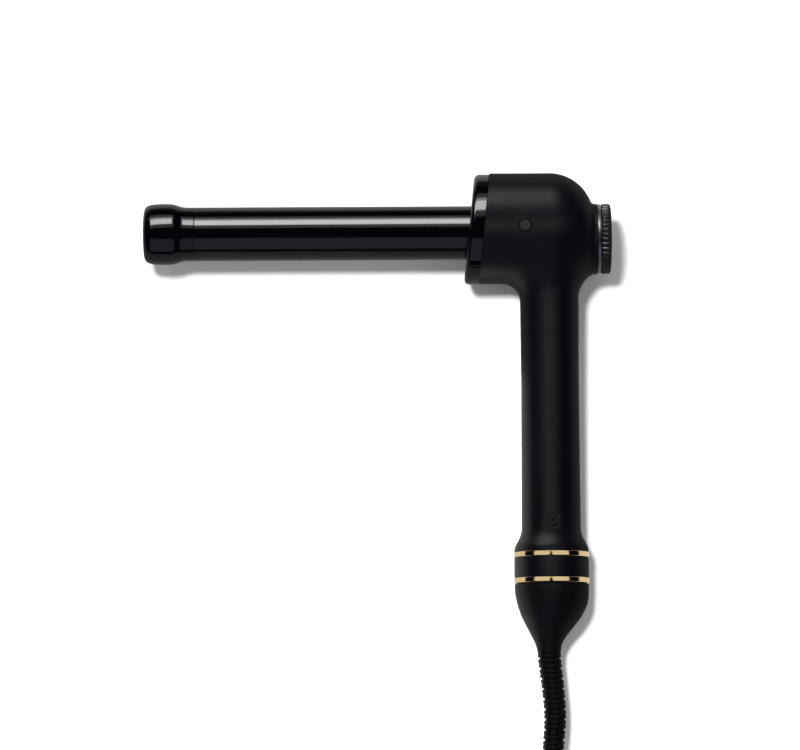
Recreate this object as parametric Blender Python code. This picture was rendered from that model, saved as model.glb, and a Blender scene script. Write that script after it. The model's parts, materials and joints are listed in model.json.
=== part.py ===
"""L-shaped curling wand with a dial in the head, a swivelling cord boot and a mains plug.

The wand is modelled in its own axes: X runs along the barrel, away from the tip, Y runs along
the handle, towards the head, and Z points out of the front. The origin of those axes is where
the barrel's axis crosses the handle's. An empty then lays the wand on the table, tipped so that
the head and the metal rings both touch it. Sizes are in millimetres; meshes are in metres.
"""
import math

import bmesh
import bpy
from mathutils import Vector

MM = 0.001
GAP = 0.3                       # clearance between pieces that touch

# Driving dimensions
BARREL_RADIUS = 16.1            # the 32 mm (1 1/4 inch) class, with its coating
BARREL_WALL = 1.2
TIP_END = -242.0                # X of the cool tip's flat end
TIP_SEAM = -211.3               # X where the tip meets the barrel
HEAD_RADIUS = 33.1
HEAD_AXIS_Y = 2.5
COLLAR_RADIUS = 32.9
COLLAR_AXIS_Y = 2.1
COLLAR_FRONT = -47.8            # X of the collar's front face, on the barrel's axis
COLLAR_THICKNESS = 8.9
SLANT = 0.101                   # the collar's faces lean: X gained for each millimetre of Y
WALL = 2.4                      # thickness of the moulded shells
DIAL_RADIUS = 20.9
DIAL_AXIS_Y = -3.9
DIAL_RIBS = 44
NECK_END = 28.5                 # X where the head's neck stops and the trim ring starts
HANDLE_CAVITY = 14.5
RING_RADIUS = 22.3              # metal rings round the handle's lower end
BAND_RADIUS = 22.1
RING_WIDTH = 3.0
RING_CENTRES = (-192.85, -208.15)
SHELL_END = -191.0              # Y where the shells' full width stops
CORE_RADIUS = 19.0              # the shells' spigot inside the rings
CORE_END = -209.5
BOOT_TOP = -210.05
BOOT_NECK = -249.0
RELIEF_END = -316.0
CORD_RADIUS = 3.5
SCREW_UPPER = (-14.9, 0.1)      # X, Y of the screws through both shells
SCREW_LOWER = (1.0, -173.6)

BOARD_TOP = -3.2                # Z of the control board's upper face
BOARD_THICKNESS = 1.6
BOARD_SCREWS = (-64.0, -152.0)  # Y of its screws
DIAL_BUTTON_RADIUS = 4.3
SPRING_RADIUS = 4.6

# X, Y of the boot's and the strain relief's middle, from the handle's end to the cord's exit.
RELIEF_LINE = [(0, -214.0), (0.3, -222.0), (-0.4, -231.0), (-2.0, -243.0), (-1.6, -255.0),
               (-0.3, -267.0), (0.9, -279.0), (1.3, -290.0), (0.4, -303.0), (-0.7, RELIEF_END)]

# Resting pose: the plane under the head and the lower ring
RING_FOOT_Y = RING_CENTRES[1] - RING_WIDTH / 2
REST_TILT = math.asin((HEAD_RADIUS - RING_RADIUS) / (HEAD_AXIS_Y - RING_FOOT_Y))
REST_HEIGHT = HEAD_RADIUS - HEAD_AXIS_Y * math.sin(REST_TILT)
ORIGIN_X = 102.6                # puts the middle of the wand's footprint over the origin
ORIGIN_Y = 139.9

# Coiled cord on the table, in table coordinates measured from below the crossing of the axes
COIL_CENTRE = (-70.0, -378.0)
COIL_MIDDLE = 42.0              # radius at the middle of the turns
COIL_COLUMNS = 4
COIL_LAYERS = 2
COIL_LIFT = 0.9                 # the tie passes under the coil
PLUG_FACE = -226.0               # X of the plug's face
PLUG_HEIGHT = 9.2                # height of the plug's middle above the table
BLADE_SPACING = 12.7
BLADE_THICKNESS = 1.5

# Colour, roughness, metallic
FINISHES = {
    "gloss_black": ((0.010, 0.010, 0.011), 0.12, 0.0),
    "soft_black": ((0.022, 0.022, 0.023), 0.48, 0.0),
    "knurl_black": ((0.018, 0.018, 0.019), 0.35, 0.0),
    "gold": ((0.86, 0.66, 0.36), 0.16, 1.0),
    "satin_silver": ((0.74, 0.74, 0.73), 0.28, 1.0),
    "rubber_black": ((0.016, 0.016, 0.017), 0.55, 0.0),
    "cord_black": ((0.018, 0.018, 0.019), 0.42, 0.0),
    "steel": ((0.60, 0.60, 0.61), 0.30, 1.0),
    "brass": ((0.78, 0.62, 0.32), 0.28, 1.0),
    "aluminium": ((0.72, 0.72, 0.74), 0.40, 1.0),
    "ceramic": ((0.82, 0.80, 0.76), 0.60, 0.0),
    "circuit_green": ((0.03, 0.20, 0.09), 0.45, 0.0),
    "component_dark": ((0.04, 0.04, 0.05), 0.40, 0.0),
    "component_yellow": ((0.70, 0.50, 0.10), 0.45, 0.0),
    "nylon_white": ((0.78, 0.78, 0.75), 0.50, 0.0),
    "lens": ((0.85, 0.12, 0.08), 0.10, 0.0),
    "wire_red": ((0.55, 0.03, 0.03), 0.45, 0.0),
    "wire_white": ((0.80, 0.80, 0.78), 0.45, 0.0),
    "wire_blue": ((0.05, 0.12, 0.50), 0.45, 0.0),
}


# ---------------------------------------------------------------- helpers

def clear_scene():
    for item in list(bpy.data.objects):
        bpy.data.objects.remove(item, do_unlink=True)


def finish_material(finish):
    material = bpy.data.materials.get(finish)
    if material:
        return material
    colour, roughness, metallic = FINISHES[finish]
    material = bpy.data.materials.new(finish)
    material.use_nodes = True
    shader = material.node_tree.nodes["Principled BSDF"]
    shader.inputs["Base Color"].default_value = (*colour, 1.0)
    shader.inputs["Roughness"].default_value = roughness
    shader.inputs["Metallic"].default_value = metallic
    return material


def add_empty(name, parent=None, location=(0, 0, 0), rotation=(0, 0, 0)):
    empty = bpy.data.objects.new(name, None)
    bpy.context.scene.collection.objects.link(empty)
    empty.parent = parent
    empty.location = Vector(location) * MM
    empty.rotation_euler = rotation
    return empty


def add_piece(name, mesh, finish, parent, location=(0, 0, 0)):
    piece = bpy.data.objects.new(name, mesh)
    bpy.context.scene.collection.objects.link(piece)
    piece.parent = parent
    piece.location = Vector(location) * MM
    piece.data.materials.append(finish_material(finish))
    return piece


def add_tool(name, mesh, parent, location=(0, 0, 0)):
    """A cutter or a shape to join on: it shapes its neighbours and isn't a piece."""
    tool = bpy.data.objects.new(name, mesh)
    bpy.context.scene.collection.objects.link(tool)
    tool.parent = parent
    tool.location = Vector(location) * MM
    tool.hide_render = True
    tool.display_type = "WIRE"
    return tool


def combine(piece, operation, tool):
    modifier = piece.modifiers.new(f"{operation.lower()}_{tool.name}", "BOOLEAN")
    modifier.operation = operation
    modifier.solver = "EXACT"
    modifier.object = tool


def mesh_from(bm, name):
    bmesh.ops.remove_doubles(bm, verts=bm.verts, dist=1e-7)
    bmesh.ops.recalc_face_normals(bm, faces=bm.faces)
    mesh = bpy.data.meshes.new(name)
    bm.to_mesh(mesh)
    bm.free()
    mesh.shade_smooth()
    mesh.set_sharp_from_angle(angle=math.radians(35))
    return mesh


def turned(name, profile, segments=24, closed=False):
    """Turn a profile of (radius, height) points round local Z; a closed one makes a ring."""
    bm = bmesh.new()
    verts = [bm.verts.new((radius * MM, 0, height * MM)) for radius, height in profile]
    ends = verts[1:] + verts[:1] if closed else verts[1:]
    edges = [bm.edges.new(pair) for pair in zip(verts, ends)]
    bmesh.ops.spin(bm, geom=verts + edges, axis=(0, 0, 1), cent=(0, 0, 0),
                   angle=2 * math.pi, steps=segments, use_merge=True)
    return mesh_from(bm, name)


def rod(name, radius, low, high, edge=0.0, segments=16):
    profile = [(0, low), (radius, low), (radius, high), (0, high)]
    if edge:
        profile[1:3] = [(radius - edge, low), (radius, low + edge),
                        (radius, high - edge), (radius - edge, high)]
    return turned(name, profile, segments)


def sleeve(name, inner, outer, low, high, edge=0.0, segments=24):
    profile = [(inner, low), (outer - edge, low), (outer, low + edge),
               (outer, high - edge), (outer - edge, high), (inner, high)]
    if not edge:
        profile = [(inner, low), (outer, low), (outer, high), (inner, high)]
    return turned(name, profile, segments, closed=True)


def screw(name, shank, length, head, head_height):
    """A round-headed screw: its shank runs down from local zero and its head stands above."""
    profile = [(0, -length), (shank * 0.4, -length), (shank, -length + shank), (shank, 0),
               (head, 0), (head, head_height * 0.5), (head * 0.7, head_height), (0, head_height)]
    return turned(name, profile, 12)


def ring(height, radius, other=None, centre=(0, 0), slant=0.0, ripple=0.0, power=2.0):
    """One cross-section of a loft: an ellipse, or a rounded oblong when power is above 2."""
    return {"height": height, "radii": (radius, radius if other is None else other),
            "centre": centre, "slant": slant, "ripple": ripple, "power": power}


def ring_points(section, segments):
    """Points round a cross-section, starting half a step off the axes."""
    points = []
    for step in range(segments):
        angle = 2 * math.pi * (step + 0.5) / segments
        reach = section["ripple"] if step % 2 else 0.0
        around = []
        for part, radius in zip((math.cos(angle), math.sin(angle)), section["radii"]):
            squared = math.copysign(abs(part) ** (2 / section["power"]), part)
            around.append((radius - reach) * squared)
        x = section["centre"][0] + around[0]
        y = section["centre"][1] + around[1]
        points.append(Vector((x, y, section["height"] + section["slant"] * y)) * MM)
    return points


def lofted(name, sections, segments=32, closed=False):
    """Join cross-sections along local Z; closed joins the last back to the first."""
    bm = bmesh.new()
    loops = [[bm.verts.new(point) for point in ring_points(section, segments)]
             for section in sections]
    following = loops[1:] + loops[:1] if closed else loops[1:]
    for lower, upper in zip(loops, following):
        for step in range(segments):
            after = (step + 1) % segments
            bm.faces.new((lower[step], lower[after], upper[after], upper[step]))
    if not closed:
        bm.faces.new(loops[0])
        bm.faces.new(loops[-1])
    return mesh_from(bm, name)


def round_form(name, profile, segments):
    """A loft of circles from (radius, height) points, with flat ends."""
    return lofted(name, [ring(height, radius) for radius, height in profile], segments)


def prism(name, outline, low, high):
    """Extrude an outline of (x, y) points along local Z."""
    bm = bmesh.new()
    face = bm.faces.new([bm.verts.new((x * MM, y * MM, low * MM)) for x, y in outline])
    raised = bmesh.ops.extrude_face_region(bm, geom=[face])["geom"]
    verts = [item for item in raised if isinstance(item, bmesh.types.BMVert)]
    bmesh.ops.translate(bm, verts=verts, vec=(0, 0, (high - low) * MM))
    return mesh_from(bm, name)


def block(name, size, edge=0.4):
    """A box about its own middle, with its edges bevelled."""
    bm = bmesh.new()
    bmesh.ops.create_cube(bm, size=1.0)
    bmesh.ops.scale(bm, vec=Vector(size) * MM, verts=bm.verts)
    if edge:
        bmesh.ops.bevel(bm, geom=bm.edges[:], offset=edge * MM, segments=1, affect="EDGES")
    return mesh_from(bm, name)


def smooth_curve(points, steps):
    """Catmull-Rom curve through the points, with a number of steps between each two."""
    points = [Vector(point) for point in points]
    padded = [2 * points[0] - points[1], *points, 2 * points[-1] - points[-2]]
    curve = []
    for before, start, end, after in zip(padded, padded[1:], padded[2:], padded[3:]):
        for step in range(steps):
            t = step / steps
            curve.append(0.5 * (2 * start + (end - before) * t
                                + (2 * before - 5 * start + 4 * end - after) * t ** 2
                                + (3 * start - before - 3 * end + after) * t ** 3))
    return curve + [points[-1]]


def add_wire(name, points, radius, finish, parent, resolution=2):
    """A round wire or cord along points, as a curve with a bevel and filled ends."""
    curve = bpy.data.curves.new(name, "CURVE")
    curve.dimensions = "3D"
    curve.bevel_depth = radius * MM
    curve.bevel_resolution = resolution
    curve.use_fill_caps = True
    spline = curve.splines.new("POLY")
    spline.points.add(len(points) - 1)
    for target, point in zip(spline.points, points):
        target.co = (*(Vector(point) * MM), 1.0)
    wire = bpy.data.objects.new(name, curve)
    bpy.context.scene.collection.objects.link(wire)
    wire.parent = parent
    wire.data.materials.append(finish_material(finish))
    return wire


# ---------------------------------------------------------------- barrel

def add_barrel(axis):
    inner = BARREL_RADIUS - BARREL_WALL
    add_piece("barrel_tube", sleeve("barrel_tube", inner, BARREL_RADIUS, TIP_SEAM + GAP, -27.5,
                                    segments=36), "gloss_black", axis)
    bulge = smooth_curve([(17.4, TIP_END + 4.9), (18.2, TIP_END + 13.0),
                          (17.6, TIP_END + 19.4), (16.4, TIP_END + 23.7),
                          (BARREL_RADIUS, TIP_SEAM)], 2)
    edge = [(13.0 + 4.1 * math.sin(turn), TIP_END + 4.4 * (1 - math.cos(turn)))
            for turn in (0.0, 0.5, 0.9, 1.25)]
    plug = [(inner - GAP, TIP_SEAM), (inner - GAP, TIP_SEAM + 9.0), (0, TIP_SEAM + 9.0)]
    profile = [(0, TIP_END)] + edge + [tuple(point) for point in bulge] + plug
    add_piece("cool_tip", turned("cool_tip", profile, 36), "gloss_black", axis)


def half_moon(radius, flat):
    """Outline of a round bar's half whose flat side stands off the middle."""
    reach = math.acos(flat / radius)
    turns = [reach - 2 * reach * step / 12 for step in range(13)]
    return [(radius * math.cos(turn), radius * math.sin(turn)) for turn in turns]


def add_heater(axis):
    """The heater stack inside the barrel; local X is the wand's -Z."""
    low, high = -195.0, -58.0
    flat = 2.2
    outline = half_moon(BARREL_RADIUS - BARREL_WALL - 0.4, flat)
    for name, side in (("heat_spreader_front", -1), ("heat_spreader_rear", 1)):
        turned_outline = [(side * x, side * y) for x, y in outline]
        add_piece(name, prism(name, turned_outline, low, high), "aluminium", axis)
    add_piece("heater_plate", block("heater_plate", (3.4, 13.0, 124.0)), "ceramic", axis,
              (0, 0, (low + high) / 2))
    add_piece("thermistor", rod("thermistor", 1.4, -130.0, -114.0, segments=12),
              "ceramic", axis, (0, 10.0, 0))
    add_piece("thermal_fuse", rod("thermal_fuse", 1.6, -126.0, -108.0, segments=12),
              "steel", axis, (0, -10.0, 0))


# ---------------------------------------------------------------- collar and socket

def slanted(x, radius, centre_y):
    return ring(x, radius, centre=(0, centre_y), slant=SLANT)


def add_collar(axis):
    """The slanted ring at the head's mouth, the socket behind it and the screws that join them."""
    back = COLLAR_FRONT + COLLAR_THICKNESS
    bore = BARREL_RADIUS + GAP
    edge = 2.6
    nose = [slanted(COLLAR_FRONT + edge * (1 - math.sin(turn)),
                    COLLAR_RADIUS - edge * (1 - math.cos(turn)), COLLAR_AXIS_Y)
            for turn in (math.pi / 2, 0.9, 0.4, 0.0)]
    sections = nose + [slanted(back, COLLAR_RADIUS, COLLAR_AXIS_Y),
                       slanted(back, bore, 0), slanted(COLLAR_FRONT, bore, 0)]
    collar = add_piece("barrel_collar", lofted("barrel_collar", sections, 36, closed=True),
                       "gloss_black", axis)
    front = back + GAP
    flange = front + 3.5
    flange_radius = HEAD_RADIUS - WALL - 0.6
    hub_end = -26.5
    sections = [slanted(front, flange_radius, HEAD_AXIS_Y),
                slanted(flange, flange_radius, HEAD_AXIS_Y), slanted(flange, 20.0, 0),
                ring(hub_end, 20.0), ring(hub_end, bore), slanted(front, bore, 0)]
    socket = add_piece("barrel_socket", lofted("barrel_socket", sections, 24, closed=True),
                       "component_dark", axis)
    circle = 25.5
    for number, degrees in enumerate((90, 210, 330), 1):
        across = circle * math.cos(math.radians(degrees))
        up = 1.5 + circle * math.sin(math.radians(degrees))
        seat = flange + SLANT * up + 0.9
        hole = add_tool(f"socket_hole_{number}", rod("hole", 1.7, -8.5, 6.0, segments=12),
                        axis, (across, up, seat))
        combine(socket, "DIFFERENCE", hole)
        combine(collar, "DIFFERENCE", hole)
        add_piece(f"socket_screw_{number}", screw("socket_screw", 1.3, 7.5, 2.7, 1.8), "steel",
                  axis, (across, up, seat))


# ---------------------------------------------------------------- housing shells

def dome_section(x, inset=0.0):
    """The head's round end: its circle shrinks and slides down towards the dial's axis."""
    start = 0.3
    end = 25.3
    radius = 26.3
    top = HEAD_AXIS_Y + HEAD_RADIUS - radius + math.sqrt(radius ** 2 - (x - start) ** 2)
    low_line = HEAD_AXIS_Y - HEAD_RADIUS
    rise = DIAL_AXIS_Y - DIAL_RADIUS - low_line
    bottom = low_line + rise * ((x - start) / (end - start)) ** 2
    return ring(x - inset, (top - bottom) / 2 - inset, centre=(0, (top + bottom) / 2))


def head_sections():
    mouth = COLLAR_FRONT + COLLAR_THICKNESS + GAP
    sections = [slanted(mouth, HEAD_RADIUS, HEAD_AXIS_Y), ring(-18.0, HEAD_RADIUS,
                                                               centre=(0, HEAD_AXIS_Y))]
    sections += [dome_section(x) for x in (0.3, 8.0, 14.0, 18.5, 21.5, 23.4)]
    for x, radius in ((24.7, DIAL_RADIUS + 0.9), (25.8, DIAL_RADIUS), (NECK_END, DIAL_RADIUS)):
        sections.append(ring(x, radius, centre=(0, DIAL_AXIS_Y)))
    return sections


def head_cavity_sections():
    radius = HEAD_RADIUS - WALL
    sections = [ring(-60.0, radius, centre=(0, HEAD_AXIS_Y))]
    sections += [dome_section(x, WALL) for x in (0.3, 11.5, 18.5, 23.4)]
    sections.append(ring(25.6, DIAL_RADIUS - 3.4, centre=(0, DIAL_AXIS_Y)))
    return sections


def handle_profile():
    """From inside the head, down a slight waist and a flare to the spigot for the rings."""
    waist = smooth_curve([(17.5, -42.6), (17.2, -87.5), (17.3, -130.0), (17.5, -171.0)], 2)
    flare = smooth_curve([(17.6, -178.0), (19.1, -183.2), (21.2, -187.0), (22.0, -189.7)], 2)
    outer = [(17.5, -14.0)] + [tuple(point) for point in waist + flare]
    return outer + [(22.05, SHELL_END), (CORE_RADIUS, SHELL_END - 0.1), (CORE_RADIUS, CORE_END)]


def fillet_reach(y, low, high, narrow, wide):
    """How far a concave corner stands out at a height, as a quarter of an ellipse."""
    share = min(max((y - low) / (high - low), 0.0), 1.0)
    return wide - (wide - narrow) * math.sqrt(1 - share ** 2)


def saddle_sections():
    """The corner between head and handle, wider and lower on the barrel's side."""
    sections = [ring(-47.0, 16.8)]
    for y in (-41.5, -37.5, -34.0, -31.5, -29.5, -26.5, -24.3, -18.0):
        left = fillet_reach(y, -41.7, -30.2, 17.45, 28.9)
        right = fillet_reach(y, -38.0, -24.2, 17.45, 28.0)
        depth = fillet_reach(y, -44.0, -20.0, 17.45, 21.5)
        sections.append(ring(y, (left + right) / 2, depth, centre=((right - left) / 2, 0)))
    return sections


def boss_tools(frame, name, place, radius, reach, recess):
    """A screw boss through both shells and the stepped hole down it, for a plug and a screw."""
    x, y = place
    boss = add_tool(f"{name}_boss", rod("boss", radius, -reach, reach, segments=12), frame,
                    (x, y, 0))
    steps = [(0, -reach * 0.55), (1.8, -reach * 0.55), (1.8, reach * 0.25),
             (3.2, reach * 0.25), (3.2, recess), (4.0, recess), (4.0, recess + 9.0),
             (0, recess + 9.0)]
    hole = add_tool(f"{name}_hole", turned("hole", steps, 12), frame, (x, y, 0))
    return boss, hole


def add_housing(frame, barrel_axis, handle_axis, dial_axis):
    half_size = (160.0, 300.0, 60.0)
    split = GAP / 2
    cutaways = {
        "housing_front": add_tool("rear_half", block("half", half_size, 0), frame,
                                  (0, -80.0, split - half_size[2] / 2)),
        "housing_rear": add_tool("front_half", block("half", half_size, 0), frame,
                                 (0, -80.0, half_size[2] / 2 - split)),
    }
    joined = [add_tool("handle_form", round_form("handle_form", handle_profile(), 28), handle_axis),
              add_tool("saddle_form", lofted("saddle_form", saddle_sections(), 28), handle_axis)]
    cavity = [(HANDLE_CAVITY, -9.0), (HANDLE_CAVITY, -176.8), (16.3, -176.9), (16.3, -215.0)]
    cut = [add_tool("head_cavity", lofted("head_cavity", head_cavity_sections(), 24),
                    barrel_axis),
           add_tool("handle_cavity", round_form("handle_cavity", cavity, 20), handle_axis),
           add_tool("hub_hole", round_form("hub_hole", [(13.6, 20.0), (13.6, 34.0)], 24), dial_axis)]
    bosses = []
    holes = []
    for name, place, radius, reach, recess in (
            ("upper", SCREW_UPPER, 4.9, HEAD_RADIUS - 1.2, HEAD_RADIUS - 3.4),
            ("lower", SCREW_LOWER, 4.6, 16.0, 14.4)):
        boss, hole = boss_tools(frame, name, place, radius, reach, recess)
        bosses.append(boss)
        holes.append(hole)
    post = [(0, -15.9), (2.8, -15.9), (2.8, -5.2), (1.5, -5.2), (1.5, -11.5), (0, -11.5)]
    posts = [add_tool(f"board_post_{number}", turned("post", post, 10), frame, (0, y, 0))
             for number, y in enumerate(BOARD_SCREWS, 1)]
    for name, other_half in cutaways.items():
        shell = add_piece(name, lofted(name, head_sections(), 32), "soft_black", barrel_axis)
        added_inside = bosses + (posts if name == "housing_rear" else [])
        for tool in joined:
            combine(shell, "UNION", tool)
        for tool in cut:
            combine(shell, "DIFFERENCE", tool)
        for tool in added_inside:
            combine(shell, "UNION", tool)
        for tool in holes:
            combine(shell, "DIFFERENCE", tool)
        combine(shell, "DIFFERENCE", other_half)


def add_housing_screws(frame):
    """The two long screws and the round plugs that hide them."""
    for name, place, seat, length, top in (
            ("upper", SCREW_UPPER, HEAD_RADIUS * 0.25 + 0.2, 22.0, HEAD_RADIUS - 0.35),
            ("lower", SCREW_LOWER, 16.0 * 0.25 + 0.2, 10.5, 17.35)):
        x, y = place
        add_piece(f"housing_screw_{name}", screw("housing_screw", 1.45, length, 2.7, 2.0),
                  "steel", frame, (x, y, seat))
        profile = [(0, top - 6.5), (2.4, top - 6.5), (2.6, top - 6.2), (2.6, top - 2.4),
                   (3.6, top - 2.4), (3.6, top - 0.5), (3.2, top - 0.05), (0, top)]
        add_piece(f"screw_plug_{name}", turned("screw_plug", profile, 16), "soft_black", frame,
                  (x, y, 0))


# ---------------------------------------------------------------- electronics

def add_control_board(frame):
    length = 100.0
    middle = (0, -108.0, BOARD_TOP - BOARD_THICKNESS / 2)
    board = add_piece("control_board", block("control_board", (21.0, length, BOARD_THICKNESS), 0),
                      "circuit_green", frame, middle)
    for number, y in enumerate(BOARD_SCREWS, 1):
        hole = add_tool(f"board_hole_{number}", rod("hole", 1.5, -9.0, 1.0, segments=12), frame,
                        (0, y, 0))
        combine(board, "DIFFERENCE", hole)
        add_piece(f"board_screw_{number}", screw("board_screw", 1.15, 7.0, 2.3, 1.5), "steel",
                  frame, (0, y, BOARD_TOP + 0.2))
    on_board = BOARD_TOP + GAP
    for name, size, place, finish in (
            ("triac", (10.0, 15.0, 4.5), (0, -82.0), "component_dark"),
            ("mains_capacitor", (8.0, 15.0, 9.0), (0, -112.0), "component_yellow")):
        add_piece(name, block(name, size), finish, frame, (*place, on_board + size[2] / 2))


def add_dial_parts(axis):
    """What stays still round the dial: trim ring, encoder, board, cap, switch and light."""
    add_piece("dial_trim_ring", sleeve("dial_trim_ring", 13.9, DIAL_RADIUS + 0.1,
                                       NECK_END + GAP, NECK_END + 2.35, segments=36),
              "satin_silver", axis)
    add_piece("dial_board", rod("dial_board", 16.0, 15.4, 17.0, segments=24), "circuit_green", axis)
    add_piece("dial_encoder", sleeve("dial_encoder", 13.0, 18.0, 19.4, 24.0),
              "component_dark", axis)
    light = (0, 7.3, 0)
    hollow = 8.8
    cap_profile = [(10.6, 17.3), (10.6, 35.7), (10.0, 36.3), (DIAL_BUTTON_RADIUS + GAP, 36.5),
                   (DIAL_BUTTON_RADIUS + GAP, 34.5), (hollow, 34.5), (hollow, 17.3)]
    cap = add_piece("dial_cap", turned("dial_cap", cap_profile, 28, closed=True),
                    "gloss_black", axis)
    combine(cap, "DIFFERENCE", add_tool("light_hole", rod("light_hole", 1.2, 32.0, 40.0,
                                                          segments=16), axis, light))
    add_piece("indicator_light", rod("indicator_light", 0.9, 17.3, 36.2, segments=16), "lens",
              axis, light)
    plunger = [(0, 17.3), (3.0, 17.3), (3.0, 21.2), (1.6, 21.2), (1.6, 22.3), (0, 22.3)]
    add_piece("power_switch", turned("power_switch", plunger, 12), "component_dark", axis)


def add_button(axis):
    """The push button in the dial's centre and its return spring; it moves along local -Z."""
    profile = [(0, 23.9), (1.8, 23.9), (1.8, 32.6), (5.6, 32.6), (5.6, 34.2),
               (DIAL_BUTTON_RADIUS, 34.2), (DIAL_BUTTON_RADIUS, 35.8),
               (DIAL_BUTTON_RADIUS - 0.5, 36.2), (0, 36.1)]
    add_piece("power_button", turned("power_button", profile, 20), "gloss_black", axis)
    turns = 4
    steps = 10
    low, high = 17.7, 31.9
    coil = []
    for step in range(turns * steps + 1):
        angle = 2 * math.pi * step / steps
        height = low + (high - low) * step / (turns * steps)
        coil.append((SPRING_RADIUS * math.cos(angle), SPRING_RADIUS * math.sin(angle), height))
    add_wire("button_spring", coil, 0.3, "steel", axis, resolution=1)


def add_dial(axis):
    """The knurled temperature dial and the hub that turns the encoder."""
    segments = 2 * DIAL_RIBS
    rib = 0.75
    low = NECK_END + 2.65
    sections = [ring(low, 20.0), ring(low + 0.4, DIAL_RADIUS, ripple=rib),
                ring(36.0, DIAL_RADIUS, ripple=rib), ring(36.8, 19.6), ring(36.2, 11.0),
                ring(19.4, 11.0), ring(19.4, 12.6), ring(low, 12.6)]
    add_piece("temperature_dial", lofted("temperature_dial", sections, segments, closed=True),
              "knurl_black", axis)


# ---------------------------------------------------------------- handle end and cord swivel

def add_rings(axis):
    bore = CORE_RADIUS + GAP
    half = RING_WIDTH / 2
    for name, middle in zip(("gold_ring_upper", "gold_ring_lower"), RING_CENTRES):
        add_piece(name, sleeve(name, bore, RING_RADIUS, middle - half, middle + half,
                               segments=36), "gold", axis)
    upper, lower = RING_CENTRES
    add_piece("handle_band", sleeve("handle_band", bore, BAND_RADIUS, lower + half + GAP,
                                    upper - half - GAP, segments=36), "soft_black", axis)


def add_swivel_seat(frame, axis):
    """The fixed half of the swivel: the bush, the contact carrier and the contact springs."""
    add_piece("swivel_bearing", sleeve("swivel_bearing", 9.3, 16.0, -209.0, -193.2), "nylon_white", axis)
    add_piece("contact_carrier", block("contact_carrier", (9.6, 11.0, 2.6)), "component_dark",
              frame, (0, -184.5, -12.4))
    for name, side, y in (("contact_spring_live", 1, -181.5),
                          ("contact_spring_neutral", -1, -187.5)):
        add_piece(name, block(name, (0.6, 3.6, 12.0), 0.1), "brass", frame,
                  (side * 10.2, y, -3.0))


def relief_centre(y):
    """Sideways lean of the boot and the strain relief: an S that starts at the handle's axis."""
    if y > RELIEF_LINE[0][1]:
        return 0.0
    lean = smooth_curve(RELIEF_LINE, 8)
    for upper, lower in zip(lean, lean[1:]):
        if lower[1] <= y:
            share = (upper[1] - y) / (upper[1] - lower[1])
            return upper[0] + (lower[0] - upper[0]) * share
    return lean[-1][0]


def leaning(y, radius):
    return ring(y, radius, centre=(relief_centre(y), 0))


def add_boot(axis):
    """The soft dome under the lower ring, with a recess for the spindle's flange."""
    outline = smooth_curve([(22.0, BOOT_TOP), (21.8, -215.5), (20.8, -222.0), (18.0, -229.0),
                            (14.2, -235.0), (10.5, -240.7), (8.0, -245.3), (7.1, BOOT_NECK)], 1)
    bore = CORD_RADIUS + GAP
    sections = [leaning(y, radius) for radius, y in outline]
    sections += [leaning(BOOT_NECK, bore), leaning(-238.0, bore), leaning(-228.0, bore),
                 ring(-215.1, bore), ring(-215.1, 14.0), ring(BOOT_TOP, 14.0)]
    add_piece("swivel_boot", lofted("swivel_boot", sections, 28, closed=True), "rubber_black",
              axis)


def add_relief(axis):
    """The ribbed strain relief, a tapering sleeve with deep grooves."""
    top = BOOT_NECK - GAP
    pitch = 9.0
    groove = 1.0
    bore = CORD_RADIUS + GAP
    length = top - RELIEF_END
    sections = [leaning(top, 7.0)]
    for rib in range(int((length - 6.0) / pitch)):
        start = top - 2.0 - rib * pitch
        for drop, depth in ((0.0, 0.0), (1.0, groove), (3.5, groove), (4.5, 0.0)):
            y = start - drop
            sections.append(leaning(y, 7.0 - 0.8 * (top - y) / length - depth))
    sections += [leaning(RELIEF_END, 6.2), leaning(RELIEF_END, bore)]
    sections += [leaning(y, bore) for y in (-303.0, -290.0, -279.0, -267.0, -255.0)]
    sections.append(leaning(top, bore))
    add_piece("strain_relief", lofted("strain_relief", sections, 14, closed=True),
              "rubber_black", axis)


def add_spindle(axis):
    """The hollow spindle, its slip rings, its retaining clip and the cord's end inside it."""
    bore = CORD_RADIUS + GAP
    profile = [(bore, -178.2), (6.4, -178.2), (6.4, -190.2), (9.0, -190.2), (9.0, -191.2),
               (8.0, -191.2), (8.0, -192.8), (9.0, -192.8), (9.0, -210.6), (13.6, -210.6),
               (13.6, -214.7), (bore, -214.7)]
    add_piece("swivel_spindle", turned("swivel_spindle", profile, 24, closed=True),
              "nylon_white", axis)
    for name, middle in (("slip_ring_live", -181.5), ("slip_ring_neutral", -187.5)):
        add_piece(name, sleeve(name, 6.7, 9.5, middle - 2.0, middle + 2.0),
                  "brass", axis)
    add_piece("swivel_clip", sleeve("swivel_clip", 8.3, 11.5, -192.5, -191.5), "steel",
              axis)
    stations = [-180.0, -200.0] + [point[1] for point in RELIEF_LINE[:-1]]
    sections = [ring(y, CORD_RADIUS, centre=(relief_centre(y), 0))
                for y in stations + [RELIEF_END + 1.0]]
    add_piece("cord_inner_end", lofted("cord_inner_end", sections, 10), "cord_black", axis)


# ---------------------------------------------------------------- wiring

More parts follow.
